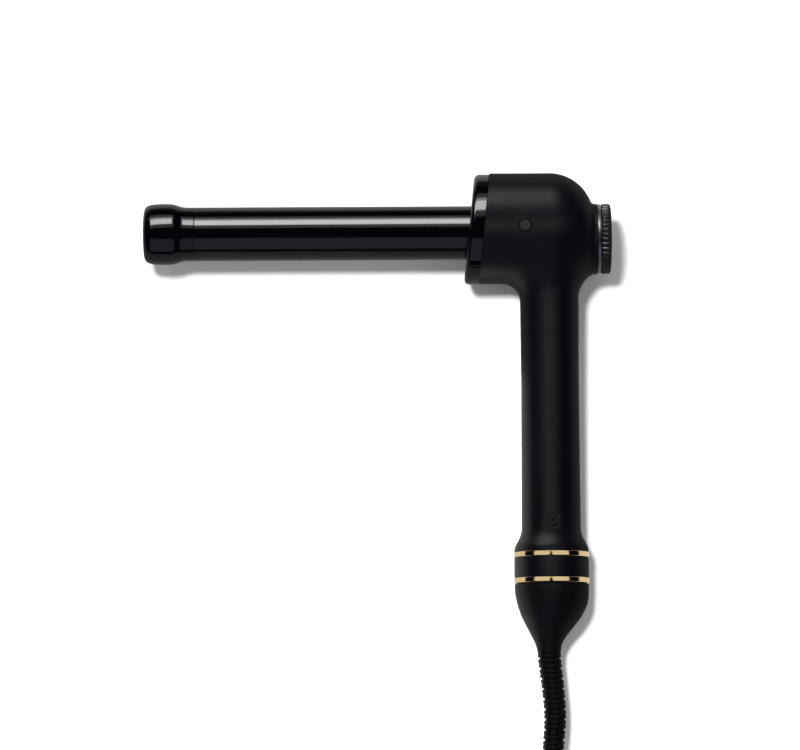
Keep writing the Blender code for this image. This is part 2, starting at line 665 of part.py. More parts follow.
def add_wiring(frame):
    """Insulated leads inside, from the heater and the slip rings to the control board."""
    board = BOARD_TOP + 1.2
    for name, finish, points in (
            ("heater_lead_live", "wire_red",
             [(-64, 3, 0), (-45, 4, 3), (-30, 3, 6), (-21, -7, 8), (-9, -26, 7), (-6, -45, 3),
              (-5, -60, board)]),
            ("heater_lead_neutral", "wire_white",
             [(-64, -3, 0), (-45, -6, 2), (-30, -8, 4), (-19, -16, 6), (-2, -32, 5),
              (1, -48, 2), (0, -60, board)]),
            ("sensor_lead", "wire_blue",
             [(-113, 10, 0), (-80, 10, 0), (-50, 9.5, -1), (-30, 6, -5), (-22, -9, -7),
              (-5, -30, -6), (6, -46, -2), (5, -60, board)]),
            ("dial_lead", "wire_blue",
             [(14.4, -12, 3), (12, -22, 4), (9.5, -34, 4), (9.5, -48, 1), (9, -60, board)]),
            ("supply_lead_live", "wire_red",
             [(10.8, -178.5, 3.5), (10.6, -172, 3), (9.5, -164, 0), (8, -156, board)]),
            ("supply_lead_neutral", "wire_white",
             [(-10.8, -184.5, 3.5), (-10.8, -176, 3), (-9.8, -166, 0), (-8, -156, board)])):
        add_wire(name, smooth_curve(points, 2), 0.8, finish, frame, resolution=1)


# ---------------------------------------------------------------- cord and plug

def add_cord(table):
    """The free cord: down to the table, one neat coil, and a tail to the plug."""
    exit_y = (RELIEF_END - GAP) * math.cos(REST_TILT)
    exit_z = REST_HEIGHT + (RELIEF_END - GAP) * math.sin(REST_TILT)
    lead = [(-0.7, exit_y, exit_z), (-1.7, -325, 16.2), (-2.9, -334, 14.3), (-4.3, -343, 11.3),
            (-5.8, -352, 8.2), (-7.3, -361, 5.7), (-8.7, -369.5, 4.2), (-9.8, -377.5, 3.6)]
    tail = [(-112, -426.5, 7.0), (-121, -425, 5.0), (-130, -423, 3.8), (-140, -421, 3.6),
            (-150, -419, 4.0), (-159, -417.5, 5.8), (-167, -416.4, 8.0), (-174.3, -416, 9.1)]
    add_wire("cord", smooth_curve(lead, 1), CORD_RADIUS, "cord_black", table)
    add_wire("cord_tail", smooth_curve(tail, 1), CORD_RADIUS, "cord_black", table)
    width = 2 * CORD_RADIUS * COIL_COLUMNS
    height = 2 * CORD_RADIUS * COIL_LAYERS
    inner = COIL_MIDDLE - width / 2
    outer = COIL_MIDDLE + width / 2
    corner = CORD_RADIUS
    profile = []
    for radius, level, start in ((inner, 0, 180), (outer, 0, 270), (outer, 1, 0), (inner, 1, 90)):
        middle = (radius + (corner if radius == inner else -corner),
                  COIL_LIFT + (height - corner if level else corner))
        for turn in (0, 45, 90):
            angle = math.radians(start + turn)
            profile.append((middle[0] + corner * math.cos(angle),
                            middle[1] + corner * math.sin(angle)))
    place = (*COIL_CENTRE, 0)
    add_piece("cord_coil", turned("cord_coil", profile, 28, closed=True), "cord_black", table,
              place)
    add_tie(table, width, height)


def add_tie(table, width, height):
    """A strap round the coil's turns, on the coil's far side from the lead."""
    band = 0.5
    across = width + 4 * GAP
    up = height + 2 * GAP
    strap = add_piece("cord_tie", block("cord_tie", (across + 2 * band, 6.0, up + 2 * band), 0.2),
                      "rubber_black", table,
                      (COIL_CENTRE[0] - COIL_MIDDLE, COIL_CENTRE[1], COIL_LIFT + height / 2))
    opening = add_tool("tie_opening", block("tie_opening", (across, 20.0, up), 0), table,
                       strap.location / MM)
    combine(strap, "DIFFERENCE", opening)




def add_plug(table):
    """A two-blade polarised plug lying on the table, its blades towards -X."""
    seat = add_empty("plug_axis", table, (0, -416.0, PLUG_HEIGHT), (0, -math.pi / 2, 0))
    rear = 175.0
    sections = [ring(rear, 4.6), ring(rear + 4, 5.0), ring(rear + 20, 6.2, 6.4),
                ring(rear + 23, 7.0, 9.0, power=3.0), ring(rear + 28, 8.4, 12.2, power=3.6),
                ring(rear + 36, 8.9, 13.0, power=4.0), ring(-PLUG_FACE - 1.5, 8.9, 12.6, power=4.0),
                ring(-PLUG_FACE, 8.0, 11.8, power=4.0)]
    body = add_piece("plug_body", lofted("plug_body", sections, 28), "cord_black", seat)
    inside = 6.0
    for name, side, width in (("plug_blade_live", -1, 6.35), ("plug_blade_neutral", 1, 7.9)):
        y = side * BLADE_SPACING / 2
        length = 15.9 + inside
        middle = (0, y, -PLUG_FACE + 15.9 - length / 2)
        pocket = add_tool(f"{name}_pocket", block("pocket", (width + 0.6, BLADE_THICKNESS + 0.6,
                                                            length + 0.6), 0), seat, middle)
        combine(body, "DIFFERENCE", pocket)
        add_piece(name, block(name, (width, BLADE_THICKNESS, length), 0.35), "brass", seat,
                  middle)


# ---------------------------------------------------------------- assembly

def main():
    clear_scene()
    table = add_empty("table_frame", location=(ORIGIN_X, ORIGIN_Y, 0))
    wand = add_empty("wand_frame", table, (0, 0, REST_HEIGHT), (REST_TILT, 0, 0))
    along_x = (0, math.pi / 2, 0)
    along_y = (-math.pi / 2, 0, 0)
    barrel_axis = add_empty("barrel_axis", wand, rotation=along_x)
    handle_axis = add_empty("handle_axis", wand, rotation=along_y)
    dial_axis = add_empty("dial_axis", wand, (0, DIAL_AXIS_Y, 0), along_x)
    swivel_axis = add_empty("swivel_axis", wand, rotation=along_y)
    add_barrel(barrel_axis)
    add_heater(barrel_axis)
    add_collar(barrel_axis)
    add_housing(wand, barrel_axis, handle_axis, dial_axis)
    add_housing_screws(wand)
    add_control_board(wand)
    add_dial_parts(dial_axis)
    add_button(dial_axis)
    add_dial(dial_axis)
    add_rings(handle_axis)
    add_swivel_seat(wand, handle_axis)
    add_boot(swivel_axis)
    add_relief(swivel_axis)
    add_spindle(swivel_axis)
    add_wiring(wand)
    add_cord(table)
    add_plug(table)


main()
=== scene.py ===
import json
import math

import bmesh
import bpy
import numpy as np
from mathutils import Matrix, Vector

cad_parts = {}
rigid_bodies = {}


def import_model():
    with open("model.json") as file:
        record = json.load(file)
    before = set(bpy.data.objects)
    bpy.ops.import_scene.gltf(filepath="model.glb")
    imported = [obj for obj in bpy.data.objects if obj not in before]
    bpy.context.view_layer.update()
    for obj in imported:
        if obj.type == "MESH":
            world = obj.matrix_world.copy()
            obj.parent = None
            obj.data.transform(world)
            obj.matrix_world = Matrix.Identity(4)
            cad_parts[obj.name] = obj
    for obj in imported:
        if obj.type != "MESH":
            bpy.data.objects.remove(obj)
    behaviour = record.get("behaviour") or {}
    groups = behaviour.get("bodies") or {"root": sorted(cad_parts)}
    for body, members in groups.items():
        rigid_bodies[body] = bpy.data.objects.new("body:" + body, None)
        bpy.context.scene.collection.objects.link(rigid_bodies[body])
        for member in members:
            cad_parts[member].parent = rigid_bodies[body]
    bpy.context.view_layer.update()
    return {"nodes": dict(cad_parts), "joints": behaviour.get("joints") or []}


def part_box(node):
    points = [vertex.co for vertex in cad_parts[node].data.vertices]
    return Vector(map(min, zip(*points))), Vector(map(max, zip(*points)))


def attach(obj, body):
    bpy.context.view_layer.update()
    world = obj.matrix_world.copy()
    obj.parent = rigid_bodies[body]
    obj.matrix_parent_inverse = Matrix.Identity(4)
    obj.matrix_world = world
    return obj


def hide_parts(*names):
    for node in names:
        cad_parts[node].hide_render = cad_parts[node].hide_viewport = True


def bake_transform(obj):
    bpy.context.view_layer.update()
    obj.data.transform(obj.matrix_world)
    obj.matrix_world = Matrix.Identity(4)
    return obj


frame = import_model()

MM = 0.001
GAP = 0.3            # between pieces that touch, in millimetres

# ---------------------------------------------------------------- the wand's own axes
# X runs along the barrel away from the tip, Y up the handle, Z out of the front; millimetres.

JOINTS = {joint["name"]: joint for joint in frame["joints"]}
HANDLE_DOWN = Vector(JOINTS["cord_swivel"]["axis"]).normalized()
SWIVEL_POINT = Vector(JOINTS["cord_swivel"]["pos_m"])
DIAL_POINT = Vector(JOINTS["dial_turn"]["pos_m"])


def box_middle(node):
    low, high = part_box(node)
    return (low + high) / 2


def wand_matrix():
    """World matrix of the wand's axes, whose origin is where barrel and handle axes cross."""
    across = Vector((1, 0, 0))
    up = -HANDLE_DOWN
    out = across.cross(up)
    barrel = box_middle("barrel_tube")
    origin = Vector((SWIVEL_POINT.x, barrel.y, barrel.z))
    turn = Matrix((across, up, out)).transposed().to_4x4()
    return Matrix.Translation(origin) @ turn @ Matrix.Scale(MM, 4)


WAND = wand_matrix()
TABLE = Matrix.Translation((WAND.translation.x, WAND.translation.y, 0)) @ Matrix.Scale(MM, 4)


def in_wand(point):
    """A world point in the wand's own axes."""
    return WAND.inverted() @ Vector(point)


ALONG_X = Matrix.Rotation(math.pi / 2, 4, "Y")      # turns local Z onto X
ALONG_Y = Matrix.Rotation(-math.pi / 2, 4, "X")     # turns local Z onto Y
BARREL = WAND @ ALONG_X
HANDLE = WAND @ ALONG_Y
DIAL = WAND @ Matrix.Translation((0, in_wand(DIAL_POINT).y, 0)) @ ALONG_X

BARREL_RADIUS = (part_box("barrel_tube")[1].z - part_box("barrel_tube")[0].z) / 2 / MM
TIP_END = in_wand(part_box("cool_tip")[0]).x
TIP_SEAM = in_wand(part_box("barrel_tube")[0]).x - GAP
DIAL_RADIUS = (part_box("dial_trim_ring")[1].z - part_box("dial_trim_ring")[0].z) / 2 / MM - 0.1
DIAL_Y = in_wand(DIAL_POINT).y
HEAD_RADIUS = 33.1
HEAD_Y = 2.5         # the head's axis is a little above the barrel's
COLLAR_RADIUS = 32.9
COLLAR_Y = 2.1
COLLAR_FRONT = -47.8
COLLAR_BACK = -38.9
SLANT = 0.101        # how far the collar's planes lean along X for each unit of Y
NECK_END = 28.5      # X where the head stops and the dial's trim ring starts
DIAL_END = 36.8
RING_RADIUS = (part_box("gold_ring_lower")[1].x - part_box("gold_ring_lower")[0].x) / 2 / MM
BAND_RADIUS = (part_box("handle_band")[1].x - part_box("handle_band")[0].x) / 2 / MM
RINGS = {"gold_ring_upper": -192.85, "gold_ring_lower": -208.15}     # Y of their middles
RING_HALF = 1.5      # half of a ring's width
SHELL_END = -191.2
BOOT_TOP = -210.05
BOOT_NECK = -249.0
RELIEF_END = -316.0
RELIEF_LEAN = -0.7   # X of the strain relief's end
CORD_RADIUS = 3.5
SCREW_UPPER = (-14.9, 0.1)       # X, Y of the screws through both shells
SCREW_LOWER = (1.0, -173.6)


# ---------------------------------------------------------------- mesh helpers

def add_object(name, mesh, material):
    piece = bpy.data.objects.new(name, mesh)
    bpy.context.scene.collection.objects.link(piece)
    mesh.materials.append(material)
    return piece


def finish_mesh(bm, name, matrix, sharp=40):
    """A smooth-shaded mesh whose edges stay sharp above an angle in degrees."""
    bmesh.ops.remove_doubles(bm, verts=bm.verts, dist=1e-6)
    bmesh.ops.recalc_face_normals(bm, faces=bm.faces)
    mesh = bpy.data.meshes.new(name)
    bm.to_mesh(mesh)
    bm.free()
    mesh.transform(matrix)
    mesh.shade_smooth()
    mesh.set_sharp_from_angle(angle=math.radians(sharp))
    return mesh


def turned(name, profile, matrix, segments=128, closed=False, sharp=40):
    """Turn (radius, height) points round local Z; a closed profile makes a ring."""
    bm = bmesh.new()
    verts = [bm.verts.new((radius, 0, height)) for radius, height in profile]
    ends = verts[1:] + verts[:1] if closed else verts[1:]
    edges = [bm.edges.new(pair) for pair in zip(verts, ends)]
    bmesh.ops.spin(bm, geom=verts + edges, axis=(0, 0, 1), cent=(0, 0, 0),
                   angle=2 * math.pi, steps=segments, use_merge=True)
    return finish_mesh(bm, name, matrix, sharp)


def lofted(name, loops, matrix, closed=False, sharp=40):
    """Join loops of points, each with the same number of points."""
    bm = bmesh.new()
    rings = [[bm.verts.new(point) for point in loop] for loop in loops]
    following = rings[1:] + rings[:1] if closed else rings[1:]
    for lower, upper in zip(rings, following):
        for step in range(len(lower)):
            after = (step + 1) % len(lower)
            bm.faces.new((lower[step], lower[after], upper[after], upper[step]))
    if not closed:
        bm.faces.new(rings[0])
        bm.faces.new(rings[-1])
    return finish_mesh(bm, name, matrix, sharp)


def smooth_curve(points, steps):
    """Catmull-Rom curve through the points, with a number of steps between each two."""
    points = [Vector(point) for point in points]
    padded = [2 * points[0] - points[1], *points, 2 * points[-1] - points[-2]]
    curve = []
    for before, start, end, after in zip(padded, padded[1:], padded[2:], padded[3:]):
        for step in range(steps):
            t = step / steps
            curve.append(0.5 * (2 * start + (end - before) * t
                                + (2 * before - 5 * start + 4 * end - after) * t ** 2
                                + (3 * start - before - 3 * end + after) * t ** 3))
    return curve + [points[-1]]


def rounded_corner(corner, start, end, radius, steps=6):
    """Points of a fillet at a corner between the directions to start and end."""
    corner, start, end = Vector(corner), Vector(start), Vector(end)
    first = corner + (start - corner).normalized() * radius
    last = corner + (end - corner).normalized() * radius
    return [tuple((1 - t) ** 2 * first + 2 * t * (1 - t) * corner + t ** 2 * last)
            for t in (step / steps for step in range(steps + 1))]


def soften(points, radii):
    """Round the corners of a closed profile: one radius per point, zero keeps it sharp."""
    result = []
    count = len(points)
    for index, (point, radius) in enumerate(zip(points, radii)):
        if not radius:
            result.append(tuple(point))
            continue
        before = points[index - 1]
        after = points[(index + 1) % count]
        result += rounded_corner(point, before, after, radius)
    return result


def circle_loop(height, radius, centre=(0, 0), slant=0.0, segments=96):
    """A circle round local Z, whose plane may lean along its own Y."""
    points = []
    for step in range(segments):
        angle = 2 * math.pi * step / segments
        x = centre[0] + radius * math.cos(angle)
        y = centre[1] + radius * math.sin(angle)
        points.append((x, y, height + slant * y))
    return points


# ---------------------------------------------------------------- materials

def shader_inputs(material):
    return material.node_tree.nodes["Principled BSDF"].inputs


def node_material(name, colour, roughness, metallic=0.0):
    material = bpy.data.materials.new(name)
    material.use_nodes = True
    inputs = shader_inputs(material)
    inputs["Base Color"].default_value = (*colour, 1.0)
    inputs["Roughness"].default_value = roughness
    inputs["Metallic"].default_value = metallic
    return material


def add_noise(material, scale, detail=4.0, stretch=(1, 1, 1)):
    """A noise in the piece's own axes; a small stretch value draws it out along that axis."""
    nodes, links = material.node_tree.nodes, material.node_tree.links
    place = nodes.new("ShaderNodeTexCoord")
    mapping = nodes.new("ShaderNodeMapping")
    mapping.inputs["Scale"].default_value = stretch
    noise = nodes.new("ShaderNodeTexNoise")
    noise.inputs["Scale"].default_value = scale
    noise.inputs["Detail"].default_value = detail
    links.new(place.outputs["Object"], mapping.inputs["Vector"])
    links.new(mapping.outputs["Vector"], noise.inputs["Vector"])
    return noise


def vary(material, noise, socket, low, high, start=0.3, end=0.7):
    """Drive a shader socket from a noise, between two values."""
    nodes, links = material.node_tree.nodes, material.node_tree.links
    spread = nodes.new("ShaderNodeMapRange")
    spread.inputs["From Min"].default_value = start
    spread.inputs["From Max"].default_value = end
    spread.inputs["To Min"].default_value = low
    spread.inputs["To Max"].default_value = high
    links.new(noise.outputs["Fac"], spread.inputs["Value"])
    links.new(spread.outputs["Result"], shader_inputs(material)[socket])


def tint(material, noise, dark, light):
    """Vary the colour between two near tones."""
    nodes, links = material.node_tree.nodes, material.node_tree.links
    ramp = nodes.new("ShaderNodeValToRGB")
    ramp.color_ramp.elements[0].position = 0.35
    ramp.color_ramp.elements[0].color = (*dark, 1.0)
    ramp.color_ramp.elements[1].position = 0.65
    ramp.color_ramp.elements[1].color = (*light, 1.0)
    links.new(noise.outputs["Fac"], ramp.inputs["Fac"])
    links.new(ramp.outputs["Color"], shader_inputs(material)["Base Color"])


def roughen(material, noise, strength, distance):
    """Use a noise as fine relief, a distance in metres high."""
    nodes, links = material.node_tree.nodes, material.node_tree.links
    bump = nodes.new("ShaderNodeBump")
    bump.inputs["Strength"].default_value = strength
    bump.inputs["Distance"].default_value = distance
    links.new(noise.outputs["Fac"], bump.inputs["Height"])
    links.new(bump.outputs["Normal"], shader_inputs(material)["Normal"])


def barrel_coating():
    """Gloss coating with faint smears along the barrel."""
    material = node_material("barrel_coating", (0.0008, 0.0006, 0.0013), 0.09)
    shader_inputs(material)["IOR"].default_value = 1.55
    smears = add_noise(material, 60.0, stretch=(0.35, 1, 1))
    vary(material, smears, "Roughness", 0.06, 0.12)
    fine = add_noise(material, 900.0, detail=2.0)
    roughen(material, fine, 0.04, 0.00002)
    return material


def gloss_plastic():
    roughness = 0.07
    material = node_material("gloss_plastic", (0.0008, 0.0006, 0.0013), roughness)
    shader_inputs(material)["IOR"].default_value = 1.5
    smears = add_noise(material, 45.0)
    vary(material, smears, "Roughness", roughness * 0.8, roughness * 1.6)
    flow = add_noise(material, 220.0, detail=2.0)
    roughen(material, flow, 0.03, 0.00005)
    return material


def soft_touch():
    """Soft-touch lacquer over moulded plastic: fine grain and a wide sheen."""
    material = node_material("soft_touch", (0.0012, 0.0012, 0.0014), 0.40)
    shader_inputs(material)["IOR"].default_value = 1.5
    tones = add_noise(material, 35.0)
    tint(material, tones, (0.0011, 0.0007, 0.0022), (0.0016, 0.0010, 0.0029))
    vary(material, tones, "Roughness", 0.37, 0.43)
    grain = add_noise(material, 3500.0, detail=3.0)
    roughen(material, grain, 0.12, 0.00004)
    return material


def polished_gold():
    material = node_material("polished_gold", (0.86, 0.64, 0.33), 0.10, 1.0)
    wear = add_noise(material, 120.0)
    vary(material, wear, "Roughness", 0.07, 0.15)
    tint(material, wear, (0.84, 0.62, 0.31), (0.90, 0.69, 0.38))
    lines = add_noise(material, 700.0, detail=2.0, stretch=(0.1, 1, 0.1))
    roughen(material, lines, 0.05, 0.00002)
    return material


def satin_silver():
    material = node_material("satin_silver", (0.34, 0.34, 0.34), 0.30, 1.0)
    lines = add_noise(material, 900.0, detail=3.0, stretch=(1, 0.08, 0.08))
    vary(material, lines, "Roughness", 0.26, 0.36)
    roughen(material, lines, 0.10, 0.00003)
    return material


def rubber(name, roughness):
    material = node_material(name, (0.0018, 0.0018, 0.002), roughness)
    shader_inputs(material)["IOR"].default_value = 1.42
    tones = add_noise(material, 80.0)
    tint(material, tones, (0.0012, 0.0010, 0.0018), (0.0018, 0.0014, 0.0026))
    vary(material, tones, "Roughness", roughness - 0.05, roughness + 0.07)
    grain = add_noise(material, 2600.0, detail=3.0)
    roughen(material, grain, 0.15, 0.00005)
    return material


def plain_metal(name, colour, roughness):
    material = node_material(name, colour, roughness, 1.0)
    marks = add_noise(material, 500.0, stretch=(1, 0.15, 1))
    vary(material, marks, "Roughness", roughness * 0.8, roughness * 1.35)
    roughen(material, marks, 0.08, 0.00003)
    return material


def moulded(name, colour, roughness):
    material = node_material(name, colour, roughness)
    tones = add_noise(material, 150.0)
    tint(material, tones, tuple(0.92 * part for part in colour),
         tuple(min(1.0, 1.08 * part) for part in colour))
    vary(material, tones, "Roughness", roughness * 0.9, min(1.0, roughness * 1.15))
    grain = add_noise(material, 1500.0)
    roughen(material, grain, 0.10, 0.00004)
    return material


BARREL_BLACK = barrel_coating()
GLOSS = gloss_plastic()
SOFT = soft_touch()
KNURL = moulded("knurled_plastic", (0.004, 0.004, 0.0045), 0.26)
PLUG_GREY = moulded("screw_plug_grey", (0.010, 0.010, 0.011), 0.42)
GOLD = polished_gold()
SILVER = satin_silver()
RUBBER = rubber("rubber", 0.45)
CORD_SHEATH = rubber("cord_sheath", 0.38)
BRASS = plain_metal("blade_brass", (0.78, 0.62, 0.34), 0.24)
STEEL = plain_metal("steel", (0.58, 0.58, 0.60), 0.30)
PRINT = moulded("printed_marks", (0.62, 0.60, 0.56), 0.5)


# ---------------------------------------------------------------- camera

def add_camera():
    """A long lens above the table, leaning a little towards the cord's end."""
    target = WAND @ Vector((-89.3, -85.15, 0))
    distance = 2.39
    lean = math.radians(6.2)
    facing = WAND.to_3x3().normalized()
    away = facing @ Vector((0, -math.sin(lean), math.cos(lean)))
    up = facing @ Vector((0, math.cos(lean), math.sin(lean)))
    roll = math.radians(0.27)
    right = up.cross(away)
    up = math.cos(roll) * up + math.sin(roll) * right
    right = up.cross(away)
    camera = bpy.data.objects.new("camera", bpy.data.cameras.new("camera"))
    camera.data.lens = 180.6
    camera.data.sensor_width = 36.0
    camera.data.clip_end = 50.0
    turn = Matrix((right, up, away)).transposed().to_4x4()
    camera.matrix_world = Matrix.Translation(target + away * distance) @ turn
    bpy.context.scene.collection.objects.link(camera)
    bpy.context.scene.camera = camera


add_camera()


# ---------------------------------------------------------------- cord

COIL_CENTRE = Vector((-70.0, -378.0, 0))
COIL_MIDDLE = 42.0          # radius at the middle of the turns
COIL_RADII = [COIL_MIDDLE + 2 * CORD_RADIUS * (1.5 - column) for column in range(4)]
COIL_LIFT = 0.9             # the tie passes under the coil
COIL_FIRST = 0.16           # the turn at which the lead joins the coil
COIL_LAST = 8 + 100 / 360   # the turn at which the tail leaves it
COIL_STEPS = 64             # points in a turn
LOW_LAYER = COIL_LIFT + CORD_RADIUS
HIGH_LAYER = LOW_LAYER + 2 * CORD_RADIUS
LEAD = [(-1.7, -325, 16.2), (-2.9, -334, 14.3), (-4.3, -343, 11.3),
        (-5.8, -352, 8.2), (-7.3, -361, 5.7), (-8.7, -369.5, 4.2), (-9.8, -377.5, 3.6)]
TAIL = [(-112, -426.5, 7.0), (-121, -425, 5.0), (-130, -423, 3.8), (-140, -421, 3.6),
        (-150, -419, 4.0), (-159, -417.5, 5.8), (-167, -416.4, 8.0), (-174.3, -416, 9.1)]


def ease(value):
    """From 0 to 1, starting and stopping gently."""
    value = min(max(value, 0.0), 1.0)
    return value * value * (3 - 2 * value)


def coil_place(turn):
    """Radius and height of the coil after a number of turns, clockwise from the lead."""
    whole, part = divmod(turn, 1.0)
    whole = int(whole)
    if turn < 3:                                    # low layer, stepping inwards
        start, end = COIL_RADII[whole], COIL_RADII[whole + 1]
        return start + (end - start) * ease((part - 0.8) / 0.2), LOW_LAYER
    if turn < 4:                                    # innermost turn climbs to the high layer
        return COIL_RADII[3], LOW_LAYER + (HIGH_LAYER - LOW_LAYER) * ease((part - 0.55) / 0.2)
    column = 3 - min(whole - 4, 2)                  # high layer, stepping outwards
    start, end = COIL_RADII[column], COIL_RADII[column - 1]
    if whole > 6:
        return COIL_RADII[0], HIGH_LAYER
    return start + (end - start) * ease((part - 0.3) / 0.2), HIGH_LAYER


def coil_points():
    points = []
    span = COIL_LAST - COIL_FIRST
    count = int(span * COIL_STEPS)
    for step in range(count + 1):
        turn = COIL_FIRST + span * step / count
        radius, height = coil_place(turn)
        angle = -2 * math.pi * turn
        points.append(COIL_CENTRE + Vector((radius * math.cos(angle), radius * math.sin(angle),
                                            height)))
    return points


def cord_path():
    """The free cord's whole centreline in the table's axes."""
    exit_point = TABLE.inverted() @ (WAND @ Vector((RELIEF_LEAN, RELIEF_END - GAP, 0)))
    coil = coil_points()
    lead = smooth_curve([exit_point] + LEAD + [(-13.2, -392, 4.0)], 3)
    join = smooth_curve([lead[-1], (-18.5, -403.5, 4.4), coil[0]], 4)[1:-1]
    leave = [(-95, -428.9, 10.9), (-104, -427.9, 9.2)]
    tail = smooth_curve([coil[-1]] + leave + TAIL, 3)[1:]
    return lead + join + coil + tail


def tube_mesh(name, path, radius, matrix, sides=16):
    """A tube along a path, with frames carried along it and flat ends."""
    path = [Vector(point) for point in path]
    loops = []
    side = Vector((1, 0, 0))
    for index, point in enumerate(path):
        ahead = path[min(index + 1, len(path) - 1)] - path[max(index - 1, 0)]
        ahead.normalize()
        side = (side - ahead * side.dot(ahead)).normalized()
        other = ahead.cross(side)
        loops.append([point + radius * (math.cos(angle) * side + math.sin(angle) * other)
                      for angle in (2 * math.pi * step / sides for step in range(sides))])
    return lofted(name, loops, matrix)


def add_cord():
    path = cord_path()
    cord = add_object("supply_cord", tube_mesh("supply_cord", path, CORD_RADIUS, TABLE),
                      CORD_SHEATH)
    world_path = [tuple(TABLE @ point) for point in path]
    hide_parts("cord", "cord_tail", "cord_coil")
    turn_with_swivel(cord)
    return cord, world_path


def turn_with_swivel(cord):
    """Bake the cord's placement into its mesh; it is not attached to the swivel.
    """
    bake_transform(cord)


CORD, CORD_LINE = add_cord()


# ---------------------------------------------------------------- plug and tie

def oblong_loop(height, half_width, half_height, power, segments=64):
    """An ellipse for a power of 2, and a rounder-cornered oblong for a higher one."""
    points = []
    for step in range(segments):
        angle = 2 * math.pi * (step + 0.5) / segments
        around = [math.copysign(abs(part) ** (2 / power), part)
                  for part in (math.cos(angle), math.sin(angle))]
        points.append((half_width * around[0], half_height * around[1], height))
    return points


PLUG = TABLE @ Matrix.Translation((0, -416.0, 9.2)) @ Matrix.Rotation(-math.pi / 2, 4, "Y")
PLUG_REAR = 175.0
PLUG_FACE = 226.0
BLADE_OFFSET = 6.35         # half of the space between the blades' middles


def plug_sections():
    """The plug from its cord end to its face: a grooved neck, a waisted grip and a rim."""
    bore = CORD_RADIUS + 0.12
    sections = [(PLUG_REAR + 0.1, bore, bore, 2.0), (PLUG_REAR - 1.1, bore, bore, 2.0),
                (PLUG_REAR - 1.1, 3.9, 3.9, 2.0), (PLUG_REAR - 0.5, 4.5, 4.5, 2.0)]
    for rib in range(5):
        start = PLUG_REAR + 3.0 + 3.4 * rib
        size = 4.7 + 0.3 * rib
        sections += [(start, size, size, 2.0), (start + 0.25, size - 0.8, size - 0.8, 2.0),
                     (start + 1.1, size - 0.8, size - 0.8, 2.0), (start + 1.35, size, size, 2.0)]
    grip = [(PLUG_REAR + 21, 6.3, 6.8, 2.4), (PLUG_REAR + 23.5, 7.1, 9.2, 2.9),
            (PLUG_REAR + 27, 8.2, 11.9, 3.4), (PLUG_REAR + 32, 8.7, 12.7, 3.8),
            (PLUG_REAR + 38, 8.6, 12.3, 4.0), (PLUG_REAR + 44, 8.9, 12.9, 4.0),
            (PLUG_FACE - 1.2, 8.9, 12.9, 4.0), (PLUG_FACE - 0.5, 8.75, 12.7, 4.0),
            (PLUG_FACE - 0.1, 8.4, 12.3, 4.0), (PLUG_FACE, 8.0, 11.9, 4.0)]
    return sections + grip


def add_plug():
    loops = [oblong_loop(height, wide, tall, power) for height, wide, tall, power
             in plug_sections()]
    body = add_object("plug_moulding", lofted("plug_moulding", loops, PLUG), CORD_SHEATH)
    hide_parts("plug_body")
    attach(body, "housing")
    pieces = [body]
    for name, side, width in (("plug_blade_live", -1, 6.35), ("plug_blade_neutral", 1, 7.9)):
        pieces.append(add_blade(name, side * BLADE_OFFSET, width))
    return pieces


def add_blade(name, across, width, thick=1.5, length=15.9):
    """A brass blade with a rounded nose and a hole near its end."""
    nose, root, hole_back = 1.6, -3.0, 3.4
    outline = []
    for step in range(17):
        angle = math.pi * step / 16
        outline.append((width / 2 * math.cos(angle),
                        length - nose + nose * math.sin(angle)))
    outline += [(-width / 2, root), (width / 2, root)]
    bm = bmesh.new()
    face = bm.faces.new([bm.verts.new((x, across - thick / 2, PLUG_FACE + z))
                         for x, z in outline])
    raised = bmesh.ops.extrude_face_region(bm, geom=[face])["geom"]
    verts = [item for item in raised if isinstance(item, bmesh.types.BMVert)]
    bmesh.ops.translate(bm, verts=verts, vec=(0, thick, 0))
    bmesh.ops.bevel(bm, geom=bm.edges[:], offset=0.2, segments=1, affect="EDGES")
    blade = add_object(f"{name}_piece", finish_mesh(bm, name, PLUG), BRASS)
    drill_mesh = turned("drill", [(0, -4), (1.6, -4), (1.6, 4), (0, 4)],
                        PLUG @ Matrix.Translation((0, across, PLUG_FACE + length - hole_back))
                        @ Matrix.Rotation(math.pi / 2, 4, "X"), 32)
    cut(blade, drill_mesh)
    blade.data.set_sharp_from_angle(angle=math.radians(30))
    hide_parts(name)
    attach(blade, "housing")
    return blade


def cut(piece, tool_mesh, operation="DIFFERENCE"):
    """Cut a piece with a mesh and keep the result as its own mesh."""
    tool = bpy.data.objects.new("tool", tool_mesh)
    bpy.context.scene.collection.objects.link(tool)
    modifier = piece.modifiers.new("cut", "BOOLEAN")
    modifier.object = tool
    modifier.operation = operation
    modifier.solver = "EXACT"
    apply_modifiers(piece)
    bpy.data.objects.remove(tool)


def apply_modifiers(piece):
    """Turn a piece's modifiers into its own mesh."""
    bpy.context.view_layer.update()
    evaluated = piece.evaluated_get(bpy.context.evaluated_depsgraph_get())
    mesh = bpy.data.meshes.new_from_object(evaluated)
    piece.modifiers.clear()
    piece.data = mesh


